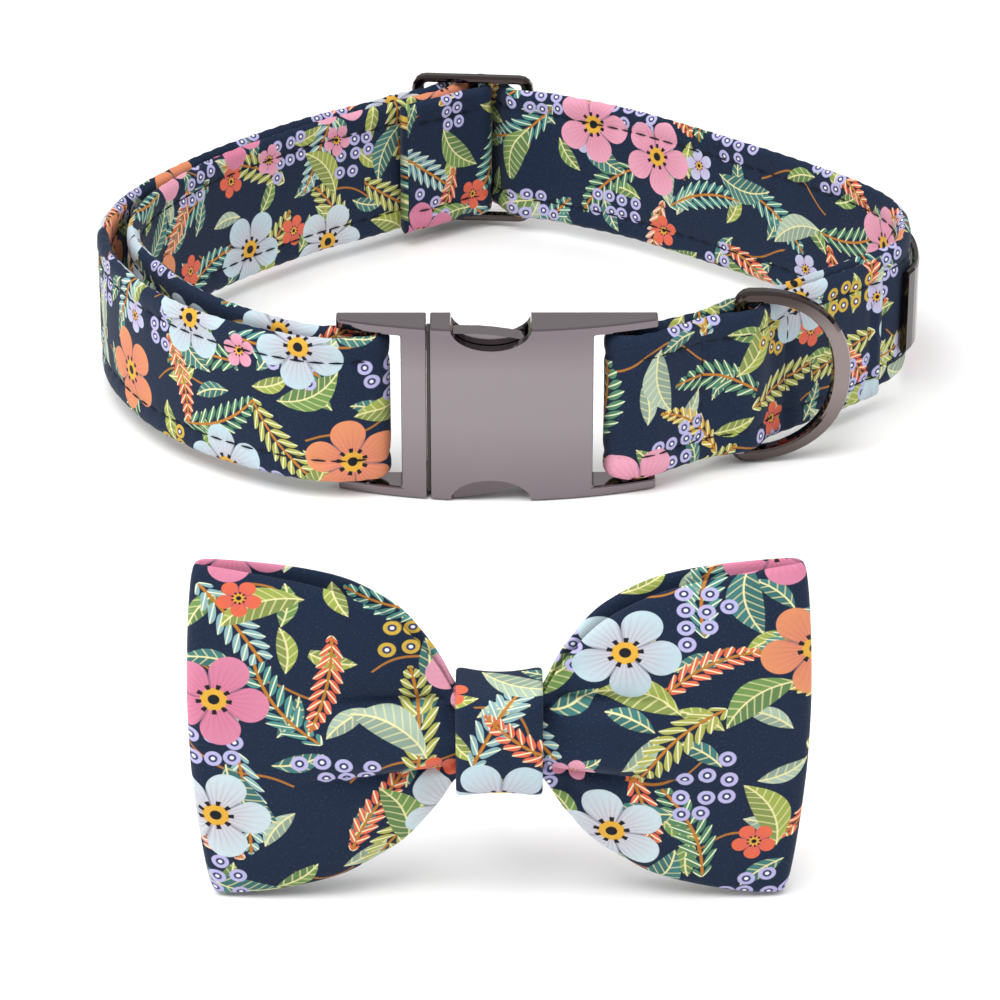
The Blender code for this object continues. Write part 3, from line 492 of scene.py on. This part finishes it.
# %% Sprigs
def sprig_layer(tree, cloth, colour, cell, length, share, shift, palette, pitch=1.9, leaf=2.6):
    """Prints sprigs of a length, with a pair of leaves at every pitch along the stem."""
    local, chance, tone = scattered(tree, cloth, cell, 0.5, shift)
    part = add(tree, "SeparateXYZ", {0: local}).node.outputs
    bow = add(tree, "MapRange", {0: tone, 1: 0.0, 2: 1.0, 3: -0.035, 4: 0.035})
    bend = both(tree, both(tree, part[0], part[0]), bow)
    side = add(tree, "Math", {0: part[1], 1: bend}, operation="SUBTRACT")
    across = add(tree, "Math", {0: side}, operation="ABSOLUTE")
    wanted = add(tree, "Math", {0: chance, 1: share}, operation="LESS_THAN")
    reach = add(tree, "Math", {0: add(tree, "Math", {0: part[0]}, operation="ABSOLUTE"), 1: length / 2},
                operation="LESS_THAN")
    mask = both(tree, wanted, reach)
    stem = both(tree, sharp(tree, across, 0.16), mask)
    colour = over(tree, colour, linear("#b5762a"), stem)
    slant = add(tree, "Math", {0: part[0], 1: across}, operation="SUBTRACT")
    step = add(tree, "Math", {0: slant, 1: pitch}, operation="FLOORED_MODULO")
    beside = add(tree, "Math", {0: add(tree, "Math", {0: step, 1: pitch / 2}, operation="SUBTRACT")},
                 operation="ABSOLUTE")
    share_out = add(tree, "Math", {0: part[0], 1: length / 2}, operation="DIVIDE")
    room = add(tree, "Math", {0: 1.02, 1: both(tree, share_out, share_out)}, operation="SUBTRACT")
    taper = both(tree, add(tree, "Math", {0: room, 1: 0.6}, operation="POWER"), leaf)
    away = add(tree, "Math", {0: across, 1: taper}, operation="DIVIDE")
    middle = add(tree, "Math", {0: away, 1: 0.55}, operation="SUBTRACT")
    lens = add(tree, "Math", {0: both(tree, middle, middle), 1: -4.6, 2: 1.0}, operation="MULTIPLY_ADD")
    blade = both(tree, lens, pitch * 0.4)
    leaves = both(tree, sharp(tree, beside, blade), mask)
    green = fill_ramp(add(tree, "ValToRGB", {0: tone}), palette, "CONSTANT")
    light = over(tree, green, linear("#e6e9c4"), sharp(tree, beside, 0.07, 0.12))
    return over(tree, colour, light, leaves)


print("sprigs ready")

# %% [markdown]
# ### Berries and stems
# Berries are small ringed discs that show only round their cluster's middle, so none is cut in half: the
# cluster is looked up at each berry's own centre and not at the point being coloured. Between all the
# motifs run thin stems that wander along the cloth, a sum of two waves shown only here and there.

# %% Berries and stems
def berry_layer(tree, cloth, colour, cell, reach, share, shift, palette, pitch=2.9, radius=1.1):
    """Prints clusters of ringed berries, a pitch apart, within a reach of the cluster's middle."""
    moved = add(tree, "VectorMath", {0: cloth, 3: 1.0 / pitch}, operation="SCALE")
    found = add(tree, "TexVoronoi", {"Vector": moved, "Scale": 1.0, "Randomness": 0.35},
                voronoi_dimensions="2D").node
    middle = add(tree, "VectorMath", {0: found.outputs["Position"], 3: pitch}, operation="SCALE")
    local, chance, tone = scattered(tree, middle, cell, 0.5, shift)
    squashed = add(tree, "VectorMath", {0: local, 1: (1.0, 1.7, 1.0)}, operation="MULTIPLY")
    far = add(tree, "VectorMath", {0: squashed}, operation="LENGTH").node.outputs["Value"]
    wanted = add(tree, "Math", {0: chance, 1: share}, operation="LESS_THAN")
    cluster = both(tree, add(tree, "Math", {0: far, 1: reach}, operation="LESS_THAN"), wanted)
    near = add(tree, "Math", {0: found.outputs["Distance"], 1: pitch}, operation="MULTIPLY")
    berry = fill_ramp(add(tree, "ValToRGB", {0: tone}), palette, "CONSTANT")
    colour = over(tree, colour, berry, both(tree, sharp(tree, near, radius), cluster))
    ring = both(tree, sharp(tree, near, radius * 0.5), cluster)
    colour = over(tree, colour, linear("#2f3a63"), ring)
    return over(tree, colour, linear("#f2f0f4"), both(tree, sharp(tree, near, radius * 0.2), cluster))


def stem_layer(tree, cloth, colour, gap):
    """Thin stems that wander along the cloth, a gap apart, and show only here and there."""
    part = add(tree, "SeparateXYZ", {0: cloth}).node.outputs
    long_wave = add(tree, "Math", {0: add(tree, "Math", {0: part[0], 1: 0.16}, operation="MULTIPLY")},
                    operation="SINE")
    short_wave = add(tree, "Math", {0: add(tree, "Math", {0: part[0], 1: 0.43}, operation="MULTIPLY")},
                     operation="SINE")
    bent = add(tree, "Math", {0: long_wave, 1: 3.6, 2: part[1]}, operation="MULTIPLY_ADD")
    bent = add(tree, "Math", {0: short_wave, 1: 1.1, 2: bent}, operation="MULTIPLY_ADD")
    near = add(tree, "Math", {0: bent, 1: gap / 2}, operation="PINGPONG")
    noise = add(tree, "TexNoise", {"Vector": cloth, "Scale": 0.07, "Detail": 0.0}, noise_dimensions="2D")
    shown = add(tree, "Math", {0: noise, 1: 0.5}, operation="GREATER_THAN")
    return over(tree, colour, linear("#a56c2c"), both(tree, sharp(tree, near, 0.13), shown))


print("berries and stems ready")

# %% [markdown]
# ### From print to cloth
# The layers are printed from the ground up: thin wandering stems, small leaves, sprigs, large leaves,
# berries, small flowers, and the big flowers last. A tight twill weave shows as fine ribs and tiny pale
# specks where the threads catch the light. Cotton is matt, with a faint sheen from its loose fibres.

# %% The print's layers
GREENS = [(0.0, "#6f9150"), (0.3, "#98a64f"), (0.5, "#3f7674"), (0.8, "#a3b8a6")]
SEA_GREENS = [(0.0, "#4d8a84"), (0.35, "#86abb0"), (0.55, "#a9a953"), (0.8, "#4f8060")]
CORALS = [(0.0, "#dc6747"), (0.4, "#e39a88"), (0.7, "#c8a63f")]
BERRIES = [(0.0, "#b4afd8"), (0.45, "#c8a63f"), (0.7, "#b4afd8")]
SMALL_PETALS = [(0.0, "#b9bedb"), (0.4, "#dd9cb1"), (0.7, "#dc6747")]
BIG_PETALS = [(0.0, "#b7cdd5"), (0.34, "#dd9cb1"), (0.56, "#c2d3d9"), (0.72, "#d98c62"), (0.88, "#cf7f9b")]


def printed(tree, cloth):
    """The colour of the whole print."""
    colour = stem_layer(tree, cloth, linear(GROUND), gap=15.0)
    colour = leaf_layer(tree, cloth, colour, cell=9.0, length=7.0, width=2.6, share=0.9, shift=13.0,
                        palette=GREENS)
    colour = sprig_layer(tree, cloth, colour, cell=18.0, length=17.0, share=0.95, shift=71.0,
                         palette=SEA_GREENS)
    colour = sprig_layer(tree, cloth, colour, cell=21.0, length=15.0, share=0.7, shift=211.0,
                         palette=CORALS, pitch=1.7, leaf=1.9)
    colour = leaf_layer(tree, cloth, colour, cell=16.0, length=11.5, width=4.6, share=0.8, shift=37.0,
                        palette=GREENS)
    colour = berry_layer(tree, cloth, colour, cell=22.0, reach=6.0, share=0.9, shift=91.0, palette=BERRIES)
    colour = flower_layer(tree, cloth, colour, cell=13.0, radius=2.9, share=0.35, shift=53.0,
                          palette=SMALL_PETALS)
    return flower_layer(tree, cloth, colour, cell=24.0, radius=7.2, share=0.85, shift=7.0,
                        palette=BIG_PETALS)


print("petal colours:", len(SMALL_PETALS) + len(BIG_PETALS))

# %% [markdown]
# The twill's ribs are about 0.35 mm apart and slant across the cloth. They are drawn a little coarser
# than real ones, which are too fine to show, and only as a shallow bump.

# %% Cloth material
THREADS_PER_MM = 3.4
TWILL_SCALE = 0.9
TWILL_SLANT = radians(38.0)
TWILL_HEIGHT = 0.06 * MM


def printed_cotton(name):
    """Cotton twill with the print on it."""
    material, tree, surface = new_material(name)
    cloth = add(tree, "UVMap", uv_map=CLOTH_UV)
    colour = printed(tree, cloth)
    threads = add(tree, "VectorMath", {0: cloth, 3: THREADS_PER_MM}, operation="SCALE")
    speck = add(tree, "TexNoise", {"Vector": threads, "Scale": 1.0, "Detail": 1.0},
                noise_dimensions="2D")
    caught = add(tree, "MapRange", {0: speck, 1: 0.66, 2: 0.78, 3: 0.0, 4: 0.05})
    colour = over(tree, colour, linear("#b9bfca"), caught)
    tree.links.new(colour, surface.inputs["Base Color"])
    twill = add(tree, "Mapping", {"Vector": cloth, "Rotation": (0.0, 0.0, TWILL_SLANT)})
    ribs = add(tree, "TexWave", {"Vector": twill, "Scale": TWILL_SCALE, "Distortion": 0.6, "Detail": 1.0},
               wave_type="BANDS", bands_direction="X").node.outputs["Fac"]
    bump = add(tree, "Bump", {"Height": ribs, "Strength": 0.35, "Distance": TWILL_HEIGHT})
    tree.links.new(bump, surface.inputs["Normal"])
    surface.inputs["Roughness"].default_value = 0.82
    surface.inputs["Specular IOR Level"].default_value = 0.22
    surface.inputs["Sheen Weight"].default_value = 0.06
    surface.inputs["Sheen Roughness"].default_value = 0.45
    return material


cotton = printed_cotton("cotton_printed_twill")
print("cloth material nodes:", len(cotton.node_tree.nodes))

# %% [markdown]
# ## The strap's line
# The strap is one long band that folds round the buckle's bars and threads through the slider. Its
# middle line is read from the frame: the frame's plain band has one row of points along its upper
# edge, and walking that row from end to end gives the line in order. A smooth curve through it, with
# a point at every step of the cloth, carries everything that is sewn.

# %% Strap line
STRAP_THICKNESS = 2.4 * MM
STEP = 0.9 * MM
PARTS = 10
strap_low, strap_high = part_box("strap")
STRAP_WIDTH = strap_high.z - strap_low.z
middle_z = (strap_low.z + strap_high.z) / 2


def upper_row(node):
    """The points along a band's upper edge, in order from one end to the other."""
    mesh = bmesh.new()
    mesh.from_mesh(frame["nodes"][node].data)
    bmesh.ops.remove_doubles(mesh, verts=mesh.verts, dist=WELD)
    top = max(vert.co.z for vert in mesh.verts)
    row = {vert for vert in mesh.verts if vert.co.z > top - 0.01 * MM}
    ends = [vert for vert in row if sum(edge.other_vert(vert) in row for edge in vert.link_edges) == 1]
    line = [min(ends, key=lambda vert: vert.co.y)]
    walked = set(line)
    while True:
        after = [edge.other_vert(line[-1]) for edge in line[-1].link_edges]
        after = [vert for vert in after if vert in row and vert not in walked]
        if not after:
            break
        line.append(after[0])
        walked.add(after[0])
    points = [Vector((vert.co.x, vert.co.y)) for vert in line]
    print("row of", len(points), "points of", len(row), "ends", len(ends))
    mesh.free()
    return points


def smooth_line(points, step):
    """A centripetal curve through the points, then points on it at even steps."""
    row = [points[0] * 2 - points[1]] + points + [points[-1] * 2 - points[-2]]
    fine = []
    for a, b, c, d in zip(row, row[1:], row[2:], row[3:]):
        t1 = (b - a).length ** 0.5
        t2 = t1 + (c - b).length ** 0.5
        t3 = t2 + (d - c).length ** 0.5
        for index in range(PARTS):
            t = t1 + (t2 - t1) * index / PARTS
            low = a.lerp(b, t / t1)
            mid = b.lerp(c, (t - t1) / (t2 - t1))
            high = c.lerp(d, (t - t2) / (t3 - t2))
            fine.append(low.lerp(mid, t / t2).lerp(mid.lerp(high, (t - t1) / (t3 - t1)),
                                                   (t - t1) / (t2 - t1)))
    fine.append(points[-1])
    even = [fine[0]]
    left = step
    for a, b in zip(fine, fine[1:]):
        piece = (b - a).length
        while left <= piece:
            even.append(a.lerp(b, left / piece))
            left += step
        left -= piece
    return even


def ways_of(points):
    """The unit direction along the line at each point."""
    pairs = zip([points[0]] + points[:-1], points[1:] + [points[-1]])
    return [(after - before).normalized() for before, after in pairs]


line = smooth_line(upper_row("strap"), STEP)
ways = ways_of(line)
print("strap length in mm:", round(len(line) * STEP / MM), "first point", [round(v / MM, 1) for v in line[0]])

# %% [markdown]
# ## The sewn strap
# The real strap is webbing wrapped in cotton, turned in at both edges and stitched about 4 mm in from
# each. The stitches pull the cloth down into a shallow channel, and it puckers between them. The band's
# section is a list of heights across one face, closer together where the channel runs, and the same
# heights back on the other face. Cross seams run over every layer on both sides of the D-ring's bar.

# %% Strap section and seams
STITCH_INSET = 4.0 * MM
STITCH_PITCH = 3.1 * MM
CHANNEL_DEPTH = 0.26 * MM
CHANNEL_REACH = 1.3 * MM
PUCKER = 0.09 * MM
SEAM_REACH = 1.5 * MM
SEAM_DEPTH = 0.5 * MM
ACROSS = (12.5, 12.42, 12.2, 11.8, 11.1, 10.2, 9.4, 8.9, 8.5, 8.1, 7.6, 6.6, 4.8, 2.4, 0.0)
half_face = [value * MM for value in ACROSS]
one_face = half_face + [-value for value in reversed(half_face[:-1])]
AROUND = 2 * (len(one_face) - 1)
EDGE_ROUND = 1.3 * MM


def fullness(up):
    """The share of the band's full thickness at a height across it; the edges are rounded."""
    edge = STRAP_WIDTH / 2 - abs(up)
    return 1 - max(0.0, 1 - edge / EDGE_ROUND) ** 2.2


def dip(distance, reach):
    """1 on a seam, falling softly to 0 at a reach from it."""
    share = min(abs(distance) / reach, 1.0)
    return (1 - share * share) ** 2


def section_place(index):
    """Height across the band and side, 1 or -1, of a place round its section."""
    count = len(one_face) - 1
    if index <= count:
        return one_face[index], 1
    return one_face[AROUND - index], -1


joint = frame["joints"][0]
END_SEAM = 2.2 * MM
ring_place = Vector(joint["pos_m"][:2])
RING_SEAM_REACH = 7.0 * MM
FRONT_DEPTH = ring_place.y + 12.0 * MM


def passes(x):
    """Distances along the line at which a layer of the front part of the loop passes a place."""
    steps_near = enumerate(zip(line, line[1:]))
    return [index * STEP for index, (a, b) in steps_near
            if (a.x - x) * (b.x - x) <= 0 and a.y < FRONT_DEPTH]


SEAMS = [END_SEAM] + passes(ring_place.x - RING_SEAM_REACH) + passes(ring_place.x + RING_SEAM_REACH)
STRAP_LENGTH = (len(line) - 1) * STEP
print("seams at mm:", [round(seam / MM, 1) for seam in SEAMS])

# %% [markdown]
# One function gives every point of the cloth, from its distance along the strap, its height across it
# and its side. It holds the whole shape: the rounded edges, the channels, the puckers in step with the
# stitches, and a slow unevenness that keeps the cloth from looking moulded.

# %% Strap surface
PUCKER_REACH = 4.2 * MM
UNEVEN = 0.05 * MM
SCALLOP = 0.08 * MM
SCALLOP_REACH = 3.0 * MM


def band_point(along, up, side, lift=0.0):
    """A point on the strap's face, from the distance along it, the height across it and the side."""
    spot = min(max(along / STEP, 0.0), len(line) - 1.001)
    index = int(spot)
    share = spot - index
    middle = line[index].lerp(line[index + 1], share)
    way = ways[index].lerp(ways[index + 1], share).normalized()
    edge = STRAP_WIDTH / 2 - abs(up)
    roundness = fullness(up)
    stitched = dip(edge - STITCH_INSET, CHANNEL_REACH) * CHANNEL_DEPTH
    stitched += sum(dip(along - seam, SEAM_REACH) for seam in SEAMS) * SEAM_DEPTH
    beat = cos(2 * pi * along / STITCH_PITCH)
    ripple = PUCKER * beat * max(0.0, 1 - abs(edge - STITCH_INSET) / PUCKER_REACH)
    slow = UNEVEN * sin(along / (11 * MM) + up / (5 * MM)) * sin(along / (6.3 * MM) - up / (9 * MM))
    height = (STRAP_THICKNESS / 2 - PUCKER - UNEVEN - stitched + ripple + slow) * roundness + lift
    out = Vector((way.y, -way.x)) * side * max(height, 0.0)
    scallop = SCALLOP * beat * max(0.0, 1 - edge / SCALLOP_REACH) * (1 if up > 0 else -1)
    return Vector((middle.x + out.x, middle.y + out.y, middle_z + up - scallop))


print("a point of the front:", [round(v / MM, 1) for v in band_point(STRAP_LENGTH / 2, 0.0, 1)])

# %% [markdown]
# The piece starts as a flat grid, one row along the cloth for each place round the section, and every
# point is then carried to its place. The flat grid first gives the cloth's own coordinates: the distance
# along, and the distance round the section, so that the print isn't stretched where it turns an edge.
# Then the long seam is closed and the two cut ends are filled.

# %% Strap cloth
section = [(up, side * fullness(up) * STRAP_THICKNESS / 2)
           for up, side in (section_place(index) for index in range(AROUND + 1))]
unrolled = [0.0]
for (up_a, out_a), (up_b, out_b) in zip(section, section[1:]):
    unrolled.append(unrolled[-1] + Vector((up_b - up_a, out_b - out_a)).length / MM)

strap_mesh = bmesh.new()
steps = len(line) - 1
bmesh.ops.create_grid(strap_mesh, x_segments=steps, y_segments=AROUND, size=0.5)
print("grid", len(strap_mesh.verts), "wanted", (steps + 1) * (AROUND + 1))
uv = strap_mesh.loops.layers.uv.new(CLOTH_UV)
for face in strap_mesh.faces:
    for loop in face.loops:
        place = round((loop.vert.co.y + 0.5) * AROUND)
        along = (loop.vert.co.x + 0.5) * steps * STEP / MM
        loop[uv].uv = (along, -unrolled[place])
for vert in strap_mesh.verts:
    place = round((vert.co.y + 0.5) * AROUND)
    up, side = section_place(place)
    vert.co = band_point((vert.co.x + 0.5) * steps * STEP, up, side)
bmesh.ops.remove_doubles(strap_mesh, verts=strap_mesh.verts, dist=WELD)
cut_ends = bmesh.ops.holes_fill(strap_mesh, edges=[edge for edge in strap_mesh.edges if edge.is_boundary])
for face in cut_ends["faces"]:
    for loop in face.loops:
        loop[uv].uv = ((loop.vert.co.x + loop.vert.co.y) / MM, loop.vert.co.z / MM)
bmesh.ops.recalc_face_normals(strap_mesh, faces=strap_mesh.faces)
open_edges = sum(not edge.is_manifold for edge in strap_mesh.edges)
strap = new_piece("strap_cloth", strap_mesh)
strap.data.materials.append(cotton)
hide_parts("strap")
print("strap faces", len(strap.data.polygons), "open edges", open_edges)

# %% [markdown]
# ## Stitches
# The thread is dark navy. Each stitch is a short, slightly sunk loop of thread, so it is a small
# stretched ball that lies in the channel. All stitches of the strap are one mesh.

# %% Stitches
THREAD = 0.34 * MM
STITCH_LENGTH = 2.7 * MM
SEAM_STITCH = 1.9 * MM
SEAM_PITCH = 2.5 * MM
SEAM_ROWS = 3
SUNK = -0.02 * MM
TWIST_SCALE = 1800.0


def stitch_place(start, end, out):
    """The turn and size that carry a unit ball to a stitch between two points."""
    way = end - start
    side = out.cross(way).normalized()
    out = way.cross(side).normalized()
    turn = Matrix((way.normalized(), side, out)).transposed().to_4x4()
    size = Matrix.Diagonal((way.length / 2, THREAD / 2, THREAD * 0.42, 1.0))
    return Matrix.Translation((start + end) / 2) @ turn @ size


def repeated(places):
    """One mesh with a small ball at each place, joined from an array of copies of a single one."""
    ball = bmesh.new()
    bmesh.ops.create_uvsphere(ball, u_segments=7, v_segments=5, radius=1.0)
    points = [vert.co.copy() for vert in ball.verts]
    faces = [[vert.index for vert in face.verts] for face in ball.faces]
    ball.free()
    data = bpy.data.meshes.new("balls")
    data.from_pydata([place @ point for place in places for point in points], [],
                     [[index + number * len(points) for index in face]
                      for number in range(len(places)) for face in faces])
    mesh = bmesh.new()
    mesh.from_mesh(data)
    bpy.data.meshes.remove(data)
    return mesh


def outward(along, side):
    """The direction away from the band's middle at a distance along it."""
    way = ways[min(int(along / STEP), len(ways) - 1)]
    return Vector((way.y, -way.x, 0.0)) * side


stitches = []
count = int(STRAP_LENGTH / STITCH_PITCH)
for index in range(count):
    start = (index + 0.5) * STITCH_PITCH - STITCH_LENGTH / 2
    for up in (STRAP_WIDTH / 2 - STITCH_INSET, STITCH_INSET - STRAP_WIDTH / 2):
        for side in (1, -1):
            stitches.append(stitch_place(band_point(start, up, side, SUNK),
                                         band_point(start + STITCH_LENGTH, up, side, SUNK),
                                         outward(start, side)))
for seam in SEAMS:
    for row in range(-SEAM_ROWS, SEAM_ROWS + 1):
        for side in (1, -1):
            up = row * SEAM_PITCH
            stitches.append(stitch_place(band_point(seam, up - SEAM_STITCH / 2, side, SUNK),
                                         band_point(seam, up + SEAM_STITCH / 2, side, SUNK),
                                         outward(seam, side)))
thread_piece = new_piece("strap_stitches", repeated(stitches))
thread, thread_tree, thread_surface = new_material("polyester_thread_navy")
twist = add(thread_tree, "TexWave", {"Vector": add(thread_tree, "TexCoord").node.outputs["Object"],
                                     "Scale": TWIST_SCALE}, bands_direction="DIAGONAL").node.outputs["Fac"]
thread_colour = fill_ramp(add(thread_tree, "ValToRGB", {0: twist}), [(0.2, "#07090f"), (0.8, "#141a29")])
thread_tree.links.new(thread_colour, thread_surface.inputs["Base Color"])
thread_surface.inputs["Roughness"].default_value = 0.6
thread_surface.inputs["Specular IOR Level"].default_value = 0.2
thread_piece.data.materials.append(thread)
print("stitches:", len(stitches))

# %% [markdown]
# ## The bow
# The bow is a loop of stiffened cotton, pinched in the middle by the knot, so both wings are hollow
# and the cloth gathers into folds beside the knot. The frame's bow has that shape in flat faces. A
# copy of it is joined back into four-sided faces and smoothed. The cloth's coordinates are the view from
# the front, lengthened towards the top and the bottom by the depth, so that the print runs over the edge
# as wrapped cloth does. The back shows another stretch of the same print.

# %% Smooth copies
BACK_SHIFT = 200.0
FACES_BACK = 0.5


def soft_copy(node, name, levels, shape=None, slide=(0.0, 0.0), turn=0.0):
    """Replaces a frame piece by a smooth copy, shaped by a function, with the cloth's coordinates."""
    mesh = bmesh.new()
    mesh.from_mesh(frame["nodes"][node].data)
    bmesh.ops.remove_doubles(mesh, verts=mesh.verts, dist=WELD)
    bmesh.ops.join_triangles(mesh, faces=mesh.faces, angle_face_threshold=radians(60),
                             angle_shape_threshold=radians(60))
    data = bpy.data.meshes.new("smooth")
    mesh.to_mesh(data)
    mesh.free()
    rough = bpy.data.objects.new("smooth", data)
    bpy.context.collection.objects.link(rough)
    smooth = rough.modifiers.new("smooth", "SUBSURF")
    smooth.levels = levels
    smooth.render_levels = levels
    graph = bpy.context.evaluated_depsgraph_get()
    mesh = bmesh.new()
    mesh.from_mesh(rough.evaluated_get(graph).to_mesh())
    bpy.data.objects.remove(rough)
    if shape:
        for vert in mesh.verts:
            vert.co = shape(vert.co)
    mesh.normal_update()
    layer = mesh.loops.layers.uv.new(CLOTH_UV)
    low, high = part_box(node)
    for face in mesh.faces:
        back = BACK_SHIFT if face.normal.y > FACES_BACK else 0.0
        for loop in face.loops:
            rise = (loop.vert.co.z - (low.z + high.z) / 2) / (high.z - low.z) * 2
            x, z = loop.vert.co.x / MM, (loop.vert.co.z + rise * (loop.vert.co.y - low.y)) / MM
            loop[layer].uv = (x * cos(turn) - z * sin(turn) + slide[0] + back,
                              x * sin(turn) + z * cos(turn) + slide[1])
    piece = new_piece(name, mesh)
    piece.data.materials.append(cotton)
    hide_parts(node)
    print(name, "faces", len(piece.data.polygons))


print("the back's print is", BACK_SHIFT, "mm further along the cloth")

# %% [markdown]
# ### Folds and tucks
# Soft folds spread from the knot like the spokes of a fan and fade outwards. Two tucks run level out of
# the knot, with the cloth between them standing proud. Both are small moves of the points forwards and
# back, worked out from each point's place beside the knot.

# %% Bow
knot_low, knot_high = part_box("bow_knot")
WING_START = (knot_high.x - knot_low.x) / 2
FOLD_FADE = 9.0 * MM
FOLD_HEIGHT = 0.4 * MM
TUCK_LENGTH = 21.0 * MM
TUCK_UP = 4.8 * MM
TUCK_STEP = 0.7 * MM
TUCK_REACH = 3.2 * MM
TUCK_DEPTH = 2.3 * MM
FAN_CENTRE = 4.0 * MM
FOLD_START = 3.0 * MM
TUCK_SPREAD = 0.2
FOLDS = 11
FINE_FOLDS = 23
SAG = 0.25 * MM


def gathered(point):
    """Moves a point of the bow into the folds that spread from the knot."""
    x = point.x - (knot_low.x + knot_high.x) / 2
    z = point.z - (knot_low.z + knot_high.z) / 2
    out = abs(x) - WING_START
    if out <= 0:
        return point
    turn = atan2(z, abs(x) + FAN_CENTRE)
    rise = min(out / FOLD_START, 1.0)
    fold = sin(turn * FOLDS + (0.8 if x > 0 else 0.0)) + 0.5 * sin(turn * FINE_FOLDS + 1.3)
    depth = FOLD_HEIGHT * rise * fold / (1 + (out / FOLD_FADE) ** 2)
    fade = max(0.0, 1 - (out / TUCK_LENGTH) ** 2) * rise
    for edge, facing in ((TUCK_UP, 1), (-TUCK_UP, -1)):
        past = (z - edge * (1 + TUCK_SPREAD * out / TUCK_LENGTH)) * facing
        step = min(max(past / TUCK_STEP + 0.5, 0.0), 1.0)
        depth += TUCK_DEPTH * fade * step * step * (3 - 2 * step) * exp(-max(past, 0.0) / TUCK_REACH)
    wave = SAG * sin(x / (9 * MM) + 1.0) * sin(z / (7 * MM))
    return Vector((point.x, point.y + depth + wave * rise, point.z))


soft_copy("bow_body", "bow_wings", 2, gathered, slide=(2000.0, 40.0))
soft_copy("bow_knot", "bow_knot_cloth", 2, slide=(2600.0, 10.0), turn=radians(35.0))

# %% [markdown]
# ## The elastic keeper
# A braided elastic loop behind the knot slips over the strap. Braid shows as fine ribs along the band,
# about 1 mm apart, and rubber threads in it leave it matt.

# %% Keeper
BRAID_SCALE = 320.0
keeper = frame["nodes"]["bow_keeper"]
elastic, elastic_tree, elastic_surface = new_material("elastic_braided_black")
place = add(elastic_tree, "TexCoord").node.outputs["Object"]
braid = add(elastic_tree, "TexWave", {"Vector": place, "Scale": BRAID_SCALE, "Distortion": 0.8},
            bands_direction="X").node.outputs["Fac"]
shade = fill_ramp(add(elastic_tree, "ValToRGB", {0: braid}), [(0.2, "#0d0e13"), (0.8, "#23252e")])
elastic_tree.links.new(shade, elastic_surface.inputs["Base Color"])
braid_bump = add(elastic_tree, "Bump", {"Height": braid, "Strength": 0.5, "Distance": 0.1 * MM})
elastic_tree.links.new(braid_bump, elastic_surface.inputs["Normal"])
elastic_surface.inputs["Roughness"].default_value = 0.75
keeper.data.materials.clear()
keeper.data.materials.append(elastic)
print("keeper dressed")
